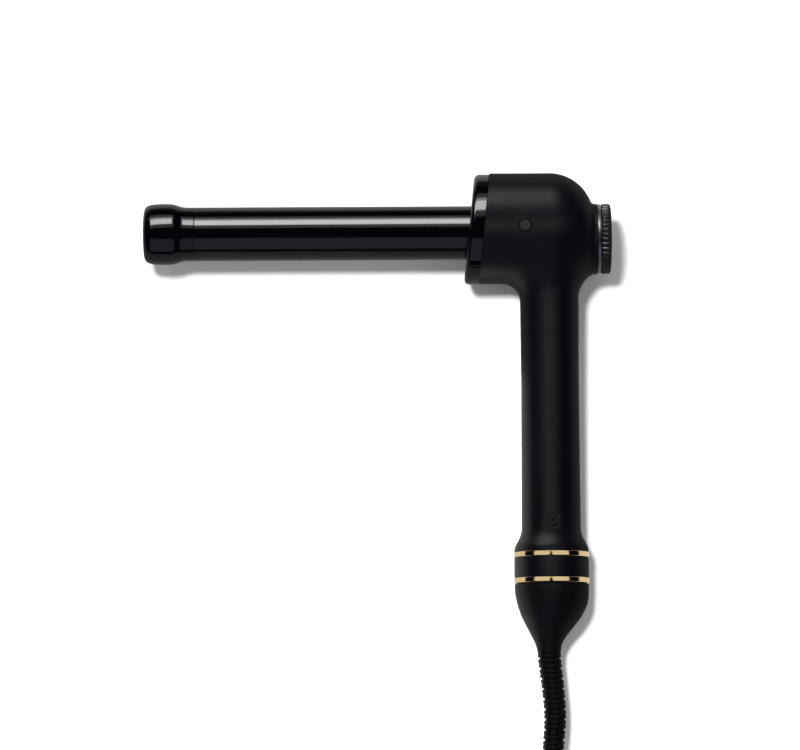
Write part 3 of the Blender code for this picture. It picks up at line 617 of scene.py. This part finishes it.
def add_tie():
    """A flat strap round all of the coil's turns, with rounded corners."""
    half_width, half_height = 4 * CORD_RADIUS, 2 * CORD_RADIUS
    wide, tall = half_width + 1.0, half_height + 0.8
    loops = []
    for across in (-3.0, -2.6, 2.6, 3.0):
        thin = 0.25 if abs(across) > 2.8 else 0.0
        loops.append([(x, across, z) for x, z in strap_outline(wide - thin, tall - thin)])
    inside = [[(x, across, z) for x, z in strap_outline(wide - 0.6, tall - 0.6)]
              for across in (3.0, -3.0)]
    place = TABLE @ Matrix.Translation(COIL_CENTRE + Vector((-COIL_MIDDLE, 0, COIL_LIFT + half_height)))
    tie = add_object("coil_tie", lofted("coil_tie", loops + inside, place, closed=True), RUBBER)
    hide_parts("cord_tie")
    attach(tie, "housing")
    return tie


def strap_outline(half_width, half_height, corner=3.2):
    points = []
    for start, x, z in ((0, 1, 1), (90, -1, 1), (180, -1, -1), (270, 1, -1)):
        for step in range(7):
            angle = math.radians(start + 15 * step)
            points.append((x * (half_width - corner) + corner * math.cos(angle),
                           z * (half_height - corner) + corner * math.sin(angle)))
    return points


PLUG_PIECES = add_plug()
TIE = add_tie()


# ---------------------------------------------------------------- barrel, tip and collar

def add_barrel():
    """The coated tube, from the tip's seam to its seat inside the head."""
    wall = 1.2
    seam, back = TIP_SEAM + 0.15, -27.5
    profile = soften([(BARREL_RADIUS, seam), (BARREL_RADIUS, back),
                      (BARREL_RADIUS - wall, back), (BARREL_RADIUS - wall, seam)],
                     [0.12, 0, 0, 0])
    barrel = add_object("barrel", turned("barrel", profile, BARREL, 160, closed=True),
                        BARREL_BLACK)
    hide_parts("barrel_tube")
    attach(barrel, "housing")


def add_tip():
    """The cool tip: a slightly domed end, a rounded rim, a grip bulge and a waist."""
    bulge = smooth_curve([(17.85, TIP_END + 4.7), (18.15, TIP_END + 7.6),
                          (18.3, TIP_END + 13.0), (18.0, TIP_END + 17.8),
                          (16.95, TIP_END + 21.2), (16.25, TIP_END + 24.0),
                          (BARREL_RADIUS, TIP_END + 28.0), (BARREL_RADIUS, TIP_SEAM - 0.12)], 6)
    rim = smooth_curve([(0, TIP_END), (8.0, TIP_END + 0.02), (13.2, TIP_END + 0.15),
                        (15.6, TIP_END + 0.85), (17.0, TIP_END + 2.3),
                        (17.85, TIP_END + 4.7)], 6)
    seam = [(BARREL_RADIUS - 0.12, TIP_SEAM), (14.3, TIP_SEAM), (14.3, TIP_SEAM + 9),
            (0, TIP_SEAM + 9)]
    profile = [tuple(point) for point in rim[:-1] + bulge] + seam
    tip = add_object("tip", turned("tip", profile, BARREL, 160, sharp=60), GLOSS)
    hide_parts("cool_tip")
    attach(tip, "housing")


def add_collar():
    """The slanted gloss ring at the head's mouth, its bore round the barrel's own axis."""
    bore = BARREL_RADIUS + GAP
    front = COLLAR_FRONT
    edge = 3.0
    steps = 12
    outline = []
    for step in range(steps + 1):
        turn = math.pi / 2 * (1 - step / steps)
        outline.append((COLLAR_RADIUS - edge * (1 - math.cos(turn)),
                        front + edge * (1 - math.sin(turn)), COLLAR_Y))
    outline += [(COLLAR_RADIUS, COLLAR_BACK - 0.3, COLLAR_Y),
                (COLLAR_RADIUS - 0.3, COLLAR_BACK, COLLAR_Y), (bore, COLLAR_BACK, 0.0),
                (bore, front + 0.5, 0.0), (bore + 0.15, front + 0.15, 0.0),
                (bore + 0.5, front, 0.0)]
    loops = [circle_loop(x, radius, (0, centre), SLANT, 160) for radius, x, centre in outline]
    collar = add_object("collar", lofted("collar", loops, BARREL, closed=True), GLOSS)
    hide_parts("barrel_collar")
    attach(collar, "housing")


add_barrel()
add_tip()
add_collar()


# ---------------------------------------------------------------- housing shells

DOME_START = 0.3            # X where the head starts to close in towards the dial
DOME_RADIUS = 26.3
DOME_RISE = 25.0            # length over which its underside rises to the dial's neck
NEAR_CROSSING = 5.0         # how near the axes' crossing the neck and the handle start
NECK_FILLET = 2.2
HANDLE_FILLET = 11.0
SHELL_WALL = 2.0
SHELL_SEAM = 0.09           # each shell stops this far short of the parting plane
VOXEL = 1.3


def round_union(first, second, radius):
    """Join two distance fields with a circular fillet in the corner."""
    reach = np.sqrt(np.maximum(radius - first, 0) ** 2 + np.maximum(radius - second, 0) ** 2)
    return np.maximum(radius, np.minimum(first, second)) - reach


def head_field(points):
    """Distance-like field of the head: a round bar whose far end shrinks and slides down."""
    x, y, z = points.T
    along = np.clip(x - DOME_START, 0.0, DOME_RADIUS - 0.1)
    top = HEAD_Y + HEAD_RADIUS - DOME_RADIUS + np.sqrt(DOME_RADIUS ** 2 - along ** 2)
    low = HEAD_Y - HEAD_RADIUS
    rise = DIAL_Y - DIAL_RADIUS - low
    bottom = low + rise * (along / DOME_RISE) ** 2
    centre = (top + bottom) / 2
    radius = (top - bottom) / 2
    return np.hypot(y - centre, z) - radius


def neck_field(points):
    """The round neck behind the dial."""
    x, y, z = points.T
    return np.maximum(np.hypot(y - DIAL_Y, z) - DIAL_RADIUS, NEAR_CROSSING - x)


HANDLE_LINE = [(17.5, -20.0), (17.5, -42.6), (17.2, -87.5), (17.3, -130.0), (17.5, -171.0),
               (17.52, -176.5), (17.85, -179.7), (19.0, -183.0), (20.5, -185.8),
               (21.6, -188.0), (22.05, -190.0), (22.1, -192.0), (22.1, -198.0)]


def handle_field(points):
    """The handle, whose radius follows HANDLE_LINE down its length."""
    x, y, z = points.T
    line = smooth_curve(HANDLE_LINE, 12)
    heights = np.array([point[1] for point in line])
    radii = np.array([point[0] for point in line])
    order = np.argsort(heights)
    radius = np.interp(y, heights[order], radii[order])
    return np.maximum(np.hypot(x, z) - radius, y + NEAR_CROSSING)


def housing_field(points):
    joined = round_union(head_field(points), neck_field(points), NECK_FILLET)
    return round_union(joined, handle_field(points), HANDLE_FILLET)


def housing_form():
    """A closed rough form, a little past every open end, remeshed into even quads."""
    head = [circle_loop(x, radius, (0, centre), 0, 64) for x, radius, centre in
            ((-46.0, HEAD_RADIUS, HEAD_Y), (1.5, HEAD_RADIUS, HEAD_Y), (9.5, 31.6, 2.0),
             (17.5, 28.0, 0.5), (23.3, 22.5, -2.5), (26.2, DIAL_RADIUS, DIAL_Y),
             (34.0, DIAL_RADIUS, DIAL_Y))]
    form = add_object("form", lofted("form", head, ALONG_X), SOFT)
    handle = [circle_loop(y, radius, (centre, 0), 0, 64) for y, radius, centre in
              ((-197.0, 22.0, 0), (-189.0, 21.7, 0), (-182.0, 18.5, 0), (-170.0, 17.5, 0),
               (-90.0, 17.2, 0), (-42.0, 17.5, 0), (-35.0, 19.0, 0), (-30.0, 23.0, -1.5),
               (-10.0, 25.0, -1.0))]
    cut(form, lofted("handle", handle, ALONG_Y), "UNION")
    remesh = form.modifiers.new("remesh", "REMESH")
    remesh.mode = "VOXEL"
    remesh.voxel_size = VOXEL
    apply_modifiers(form)
    return form


def project(mesh, field, rounds=8):
    """Move every vertex onto the field's zero surface."""
    count = len(mesh.vertices)
    points = np.zeros(count * 3)
    mesh.vertices.foreach_get("co", points)
    points = points.reshape(-1, 3)
    step, flattest, longest = 0.02, 0.05, 1.5
    for _ in range(rounds):
        value = field(points)
        slope = np.stack([(field(points + offset) - field(points - offset)) / (2 * step)
                          for offset in np.eye(3) * step], axis=1)
        size = np.maximum((slope ** 2).sum(axis=1), flattest)
        move = -(value / size)[:, None] * slope
        points += np.clip(move, -longest, longest)
    mesh.vertices.foreach_set("co", points.ravel())


def keep_side(bm, point, normal):
    """Cut the mesh with a plane and keep what lies behind it."""
    geometry = bm.verts[:] + bm.edges[:] + bm.faces[:]
    bmesh.ops.bisect_plane(bm, geom=geometry, dist=1e-5, plane_co=point, plane_no=normal,
                           clear_outer=True)


def add_housing():
    """The front and rear shells, cut from one form at its open ends and parting plane."""
    form = housing_form()
    project(form.data, housing_field)
    base = form.data
    mouth = COLLAR_BACK + 0.04
    for name, side in (("housing_front", 1), ("housing_rear", -1)):
        bm = bmesh.new()
        bm.from_mesh(base)
        keep_side(bm, (mouth, 0, 0), (-1, SLANT, 0))
        keep_side(bm, (NECK_END, 0, 0), (1, 0, 0))
        keep_side(bm, (0, SHELL_END, 0), (0, -1, 0))
        keep_side(bm, (0, 0, side * SHELL_SEAM), (0, 0, -side))
        shell = add_object(f"{name}_shell", finish_mesh(bm, name, Matrix.Identity(4)), SOFT)
        solid = shell.modifiers.new("wall", "SOLIDIFY")
        solid.thickness = SHELL_WALL
        solid.offset = -1.0
        solid.use_even_offset = False
        apply_modifiers(shell)
        if side > 0:
            drill_plug_seats(shell)
        shell.data.transform(WAND)
        shell.data.shade_smooth()
        shell.data.set_sharp_from_angle(angle=math.radians(40))
        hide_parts(name)
        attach(shell, "housing")
    bpy.data.objects.remove(form)


def drill_plug_seats(shell):
    """A hole for each screw plug, and a shallow flat seat round the lower one."""
    seat = 4.8
    for (x, y), low, face, gap in ((SCREW_UPPER, HEAD_RADIUS - 8, HEAD_RADIUS, 3.85),
                                   (SCREW_LOWER, 10.0, 16.8, 3.25)):
        tool = turned("seat", [(0, low), (gap, low), (gap, face), (seat, face),
                               (seat, low + 20), (0, low + 20)],
                      Matrix.Translation((x, y, 0)), 64)
        cut(shell, tool)


def add_screw_plugs():
    """Round plugs over the two front screws: one sunk and dished, one raised with a dimple."""
    upper = [(0, 32.55), (1.4, 32.55), (2.7, 32.7), (3.15, 32.78), (3.32, 32.7), (3.4, 32.45),
             (3.4, 27.0), (0, 27.0)]
    lower = [(0, 17.0), (0.5, 17.0), (0.8, 17.08), (1.05, 17.17), (2.4, 17.2), (2.85, 17.15),
             (3.1, 16.95), (3.15, 16.6), (3.15, 12.0), (0, 12.0)]
    for name, (x, y), profile, finish in (("screw_plug_upper", SCREW_UPPER, upper, PLUG_GREY),
                                          ("screw_plug_lower", SCREW_LOWER, lower, SOFT)):
        place = WAND @ Matrix.Translation((x, y, 0))
        plug = add_object(f"{name}_piece", turned(name, profile, place, 64, sharp=60), finish)
        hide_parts(name)
        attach(plug, "housing")


add_housing()
add_screw_plugs()


# ---------------------------------------------------------------- dial end

RIBS = 44
RIB_SHAPE = (0, 0, 0, 0.25, 0.85, 1, 1, 0.85, 0.25, 0)      # share of the depth round one rib


def add_trim_ring():
    """The satin ring between the neck and the dial."""
    bore = 13.9
    low, high = NECK_END + 0.35, NECK_END + 2.3
    profile = soften([(bore, low), (DIAL_RADIUS, low), (DIAL_RADIUS - 0.25, high),
                      (bore, high)], [0, 0.3, 0.3, 0])
    trim = add_object("trim_ring", turned("trim_ring", profile, DIAL, 160, closed=True), SILVER)
    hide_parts("dial_trim_ring")
    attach(trim, "housing")


def rib_loop(height, radius, depth):
    """A ring with rounded ribs; depth zero is a plain circle with the same points."""
    points = []
    count = RIBS * len(RIB_SHAPE)
    for step in range(count):
        angle = 2 * math.pi * (step + 0.5) / count
        reach = radius - depth * RIB_SHAPE[step % len(RIB_SHAPE)]
        points.append((reach * math.cos(angle), reach * math.sin(angle), height))
    return points


def add_dial():
    """The knurled dial: ribs with rounded ends, a dished face and a tubular hub."""
    low, high = NECK_END + 2.65, DIAL_END
    sections = [(low, 19.3, 0), (low + 0.1, DIAL_RADIUS - 0.5, 0.3),
                (low + 0.45, DIAL_RADIUS, 0.85), (high - 1.1, DIAL_RADIUS, 0.85),
                (high - 0.6, DIAL_RADIUS - 0.25, 0.7), (high - 0.25, DIAL_RADIUS - 0.8, 0.3),
                (high - 0.05, 19.4, 0), (high, 18.9, 0), (high - 0.1, 17.8, 0),
                (high - 0.7, 15.6, 0), (high - 0.8, 13.0, 0), (high - 0.75, 11.5, 0),
                (high - 1.0, 11.0, 0), (19.4, 11.0, 0), (19.4, 12.6, 0), (low, 12.6, 0)]
    loops = [rib_loop(height, radius, depth) for height, radius, depth in sections]
    dial = add_object("dial", lofted("dial", loops, DIAL, closed=True, sharp=50), KNURL)
    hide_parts("temperature_dial")
    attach(dial, "dial")
    add_dial_marks(high)


def add_dial_marks(high):
    """A generic scale on the dial's dished face: ticks, with every fifth one longer."""
    bm = bmesh.new()
    for tick in range(11):
        angle = math.radians(-135 + 27 * tick)
        inner, outer, half = (13.4, 15.3, 0.22) if tick % 5 else (12.8, 15.3, 0.35)
        direction = Vector((math.cos(angle), math.sin(angle), 0))
        side = Vector((-direction.y, direction.x, 0)) * half
        corners = [direction * inner - side, direction * outer - side,
                   direction * outer + side, direction * inner + side]
        heights = [high - 0.80, high - 0.71, high - 0.71, high - 0.80]
        lower = [bm.verts.new((*corner.xy, level - 0.02))
                 for corner, level in zip(corners, heights)]
        upper = [bm.verts.new((*corner.xy, level + 0.03))
                 for corner, level in zip(corners, heights)]
        bm.faces.new(lower)
        bm.faces.new(upper)
        for index in range(4):
            after = (index + 1) % 4
            bm.faces.new((lower[index], lower[after], upper[after], upper[index]))
    marks = add_object("dial_marks", finish_mesh(bm, "dial_marks", DIAL), PRINT)
    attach(marks, "dial")


CENTRE_FACE = DIAL_END - 0.6


def add_dial_cap():
    """The fixed cap inside the dial, with a hole for the light."""
    face = CENTRE_FACE
    cap_profile = soften([(10.6, 17.3), (10.6, face), (4.65, face + 0.25), (4.65, face - 1.7),
                          (8.8, face - 1.7), (8.8, 17.3)], [0, 0.7, 0.25, 0, 0, 0])
    cap = add_object("dial_centre_cap", turned("dial_centre_cap", cap_profile, DIAL, 96,
                                               closed=True), GLOSS)
    hole = turned("light_hole", [(0, 32), (1.15, 32), (1.15, 40), (0, 40)],
                  DIAL @ Matrix.Translation((0, 7.3, 0)), 32)
    cut(cap, hole)
    cap.data.set_sharp_from_angle(angle=math.radians(40))
    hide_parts("dial_cap")
    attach(cap, "housing")


def add_push_button():
    """The button in the cap's middle, with the flange and the stem behind it."""
    face = CENTRE_FACE
    button_profile = [(0, face - 0.45), (2.6, face - 0.4), (3.6, face - 0.15),
                      (3.95, face - 0.05), (4.2, face - 0.15), (4.3, face - 0.45),
                      (4.3, face - 2.0), (5.6, face - 2.0), (5.6, face - 3.6),
                      (1.8, face - 3.6), (1.8, 23.9), (0, 23.9)]
    button = add_object("push_button", turned("push_button", button_profile, DIAL, 96,
                                              sharp=50), GLOSS)
    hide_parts("power_button")
    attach(button, "button")


def add_button_spring(turns=4, steps=24, radius=4.6, low=17.7, high=31.9):
    """The return spring under the push button, as a fixed coil that is not attached to the button."""
    path = []
    for step in range(turns * steps + 1):
        angle = 2 * math.pi * step / steps
        path.append((radius * math.cos(angle), radius * math.sin(angle),
                     low + (high - low) * step / (turns * steps)))
    spring = add_object("return_spring", tube_mesh("return_spring", path, 0.3, DIAL, 8), STEEL)
    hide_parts("button_spring")
    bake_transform(spring)


add_trim_ring()
add_dial()
add_dial_cap()
add_push_button()
add_button_spring()


# ---------------------------------------------------------------- rings, boot and strain relief

def add_rings():
    """The two polished rings and the black band between them."""
    bore = 19.3
    for name, middle in RINGS.items():
        low, high = middle - RING_HALF, middle + RING_HALF
        profile = soften([(bore, low), (RING_RADIUS, low), (RING_RADIUS, high), (bore, high)],
                         [0, 0.35, 0.35, 0])
        ring = add_object(f"{name}_piece", turned(name, profile, HANDLE, 160, closed=True), GOLD)
        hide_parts(name)
        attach(ring, "housing")
    groove = 0.12
    low = RINGS["gold_ring_lower"] + RING_HALF + groove
    high = RINGS["gold_ring_upper"] - RING_HALF - groove
    profile = soften([(bore, low), (BAND_RADIUS, low), (BAND_RADIUS, high), (bore, high)],
                     [0, 0.25, 0.25, 0])
    band = add_object("band", turned("band", profile, HANDLE, 160, closed=True), SOFT)
    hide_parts("handle_band")
    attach(band, "housing")


RELIEF_LINE = smooth_curve([(0, -214.0), (0.3, -222.0), (-0.4, -231.0), (-2.0, -243.0),
                            (-1.6, -255.0), (-0.3, -267.0), (0.9, -279.0), (1.3, -290.0),
                            (0.4, -303.0), (RELIEF_LEAN, RELIEF_END)], 12)


def lean(y):
    """How far the boot and the strain relief lean along X at a height."""
    heights = [point[1] for point in reversed(RELIEF_LINE)]
    shifts = [point[0] for point in reversed(RELIEF_LINE)]
    return float(np.interp(y, heights, shifts))


def add_boot():
    """The soft boot, hollow at its top, with a bore for the cord that follows its lean."""
    hollow, hollow_end = 14.0, -215.1
    outline = smooth_curve([(22.0, BOOT_TOP - 0.4), (21.85, -215.5), (21.0, -221.0),
                            (19.5, -225.5), (17.4, -230.0), (14.2, -235.0), (10.9, -240.0),
                            (8.6, -244.0), (7.4, -247.2), (7.1, BOOT_NECK)], 5)
    bore = CORD_RADIUS + GAP
    loops = [circle_loop(BOOT_TOP, 21.6, segments=128)]
    loops += [circle_loop(y, radius, (lean(y), 0), segments=128) for radius, y in outline]
    loops += [circle_loop(y, bore, (lean(y), 0), segments=128)
              for y in (BOOT_NECK, -243.0, -238.0, -230.0, -222.0, hollow_end)]
    loops += [circle_loop(y, hollow, segments=128) for y in (hollow_end, BOOT_TOP)]
    boot = add_object("boot", lofted("boot", loops, HANDLE, closed=True), RUBBER)
    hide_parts("swivel_boot")
    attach(boot, "swivel")


def relief_loop(y, radius, slot=0, notch=0, segments=48):
    """One ring of the strain relief; a slot cuts its front and back in, a notch its sides."""
    points = []
    for step in range(segments):
        angle = 2 * math.pi * step / segments
        front = ease((abs(math.sin(angle)) - 0.62) / 0.24)
        side = ease((abs(math.cos(angle)) - 0.66) / 0.24)
        reach = radius - slot * front - notch * side
        points.append((lean(y) + reach * math.cos(angle), reach * math.sin(angle), y))
    return points


def add_relief():
    """A tapered rubber sleeve, slotted front and back, with deeper notches at every other slot."""
    top = BOOT_NECK - 0.1
    pitch, depth = 3.0, 2.2
    wide, taper = 7.0, 0.8
    length = top - RELIEF_END
    loops = [relief_loop(top, wide)]
    for rib in range(int((length - 3.0) / pitch)):
        start = top - 1.2 - rib * pitch
        notch = 0.9 if rib % 2 else 0.25
        for drop, share in ((0.0, 0.0), (0.15, 0.8), (0.3, 1.0), (1.2, 1.0), (1.35, 0.8),
                            (1.5, 0.0)):
            y = start - drop
            radius = wide - taper * (top - y) / length
            loops.append(relief_loop(y, radius, depth * share, notch * share))
    loops.append(relief_loop(RELIEF_END + 0.5, 6.2))
    loops.append(relief_loop(RELIEF_END, 5.8))
    loops += [relief_loop(y, CORD_RADIUS + 0.15) for y in np.linspace(RELIEF_END, top, 14)]
    relief = add_object("relief", lofted("relief", loops, HANDLE, closed=True), RUBBER)
    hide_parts("strain_relief")
    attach(relief, "swivel")


add_rings()
add_boot()
add_relief()


# ---------------------------------------------------------------- inner pieces

INNER = {
    STEEL: ("socket_screw_1", "socket_screw_2", "socket_screw_3", "housing_screw_upper",
            "housing_screw_lower", "board_screw_1", "board_screw_2", "swivel_clip",
            "thermal_fuse"),
    BRASS: ("contact_spring_live", "contact_spring_neutral", "slip_ring_live",
            "slip_ring_neutral"),
    plain_metal("aluminium", (0.70, 0.70, 0.72), 0.40): ("heat_spreader_front",
                                                        "heat_spreader_rear"),
    moulded("ceramic_white", (0.80, 0.78, 0.73), 0.6): ("heater_plate", "thermistor"),
    moulded("circuit_green", (0.03, 0.20, 0.09), 0.4): ("control_board", "dial_board"),
    moulded("component_dark", (0.03, 0.03, 0.035), 0.4): ("barrel_socket", "triac",
                                                          "dial_encoder", "power_switch",
                                                          "contact_carrier"),
    moulded("component_yellow", (0.70, 0.50, 0.10), 0.45): ("mains_capacitor",),
    moulded("nylon_white", (0.78, 0.78, 0.75), 0.5): ("swivel_bearing", "swivel_spindle"),
    moulded("lens_red", (0.70, 0.06, 0.04), 0.12): ("indicator_light",),
    moulded("sleeve_red", (0.50, 0.03, 0.03), 0.45): ("heater_lead_live", "supply_lead_live"),
    moulded("sleeve_white", (0.78, 0.78, 0.76), 0.45): ("heater_lead_neutral",
                                                        "supply_lead_neutral"),
    moulded("sleeve_blue", (0.05, 0.12, 0.48), 0.45): ("sensor_lead", "dial_lead"),
    CORD_SHEATH: ("cord_inner_end",),
}


def finish_inner_pieces():
    for material, names in INNER.items():
        for name in names:
            mesh = frame["nodes"][name].data
            mesh.materials.clear()
            mesh.materials.append(material)


finish_inner_pieces()


# ---------------------------------------------------------------- floor and lights

FLOOR_SIZE = 4.0
SKY_STRENGTH = 0.50
LIGHT_AIM = Vector((0.0, 0.0, 0.03))
LAMP_PLACE = LIGHT_AIM + Vector((-0.37, 0.31, 2.2))
LAMP_SIZE = (0.4, 0.4)
LAMP_RADIANCE = 146.0
CARD_DISTANCE = 1.5
GLOW_HEIGHT = 0.0004        # just over the floor
VIOLET = (0.93, 0.80, 1.15)


def add_floor():
    """A plain pale table top, which the pieces don't reflect."""
    bm = bmesh.new()
    bmesh.ops.create_grid(bm, x_segments=1, y_segments=1, size=FLOOR_SIZE)
    mesh = bpy.data.meshes.new("floor")
    bm.to_mesh(mesh)
    bm.free()
    material = node_material("white_table", (0.86, 0.86, 0.86), 0.6)
    shader_inputs(material)["Specular IOR Level"].default_value = 0.2
    floor = add_object("floor", mesh, material)
    floor.visible_glossy = False


def add_light(name, place, aim, size, radiance, shape="RECTANGLE"):
    """An area light facing a point; its radiance is its power over four times its area."""
    light = bpy.data.lights.new(name, "AREA")
    light.shape = shape
    light.size, light.size_y = size
    area = size[0] * size[1] * (math.pi / 4 if shape == "ELLIPSE" else 1.0)
    light.energy = 4 * area * radiance
    lamp = bpy.data.objects.new(name, light)
    away = (Vector(place) - Vector(aim)).normalized()
    lamp.matrix_world = (Matrix.Translation(place) @ away.to_track_quat("Z", "Y").to_matrix()
                         .to_4x4())
    bpy.context.scene.collection.objects.link(lamp)
    return lamp


def add_card(name, across, up, width, height, radiance, receivers, colour=(1, 1, 1)):
    """A card seen only in reflections, placed and sized by angles from overhead in degrees."""
    across, up = math.radians(across), math.radians(up)
    way = Vector((math.sin(across), math.sin(up) * math.cos(across),
                  math.cos(up) * math.cos(across)))
    size = [2 * CARD_DISTANCE * math.tan(math.radians(angle) / 2) for angle in (width, height)]
    card = add_light(name, LIGHT_AIM + way * CARD_DISTANCE, LIGHT_AIM, size, radiance)
    card.data.color = colour
    card.visible_diffuse = False
    card.light_linking.receiver_collection = receivers


def add_glow(name, radiance, receivers, middle=(0, 0), size=(3.0, 3.0)):
    """The pale table as one group of pieces reflects it, lying just over the floor."""
    glow = add_light(name, (*middle, GLOW_HEIGHT), (*middle, 1), size, radiance)
    glow.visible_diffuse = False
    glow.visible_camera = False
    glow.light_linking.receiver_collection = receivers


def finish_groups():
    """Three groups by finish: polished metal, gloss black with the dial, and the rest."""
    groups = [bpy.data.collections.new(name) for name in ("metal", "gloss", "matt")]
    for piece in bpy.context.scene.objects:
        if piece.type != "MESH" or not piece.data.materials:
            continue
        finish = piece.data.materials[0]
        shiny = (GOLD, BRASS), (GLOSS, BARREL_BLACK, KNURL, SILVER)
        choice = next((index for index, family in enumerate(shiny) if finish in family), 2)
        groups[choice].objects.link(piece)
    return groups


def add_lighting():
    """A small lamp nearly overhead for the shadow, a pale sky, and cards for the shine."""
    world = bpy.data.worlds.new("studio")
    world.use_nodes = True
    backdrop = world.node_tree.nodes["Background"]
    backdrop.inputs["Color"].default_value = (0.98, 0.99, 1.0, 1.0)
    backdrop.inputs["Strength"].default_value = SKY_STRENGTH
    bpy.context.scene.world = world
    world.cycles_visibility.glossy = False
    lamp = add_light("lamp", LAMP_PLACE, LIGHT_AIM, LAMP_SIZE, LAMP_RADIANCE, "ELLIPSE")
    lamp.visible_glossy = False
    metal, gloss, matt = finish_groups()
    add_card("softbox", -8, 43.5, 30, 19, 5.4, gloss)
    add_card("softbox_rim", -8, 46, 38, 28, 2.6, gloss)
    add_card("softbox_edge", -8, 45, 50, 50, 0.5, gloss)
    add_card("near_card", -5, -51, 60, 54, 0.26, gloss, VIOLET)
    add_glow("gloss_glow", 0.05, gloss)
    add_glow("near_glow", 0.15, gloss, (0, -0.6), (3.0, 1.8))
    add_glow("far_glow", 0.20, gloss, (0, 0.24), (1.2, 0.16))
    add_card("softbox_matt", -10, 58, 44, 34, 1.4, matt)
    for side in (-1, 1):
        add_card("overhead", side * 13 - 2, 4, 20, 36, 0.42, matt)
        add_card("metal_card", side * 26, 10, 44, 50, 0.6, metal)
    add_card("near_card_matt", -8, -51, 46, 54, 0.13, matt, VIOLET)
    add_glow("matt_glow", 0.13, matt, (0, -0.5), (3.0, 2.0))
    add_glow("inner_corner_glow", 0.36, matt, (-0.21, -0.2), (0.6, 0.52))
    add_glow("metal_glow", 0.6, metal)


add_floor()
add_lighting()
bpy.context.scene.view_settings.view_transform = "Standard"
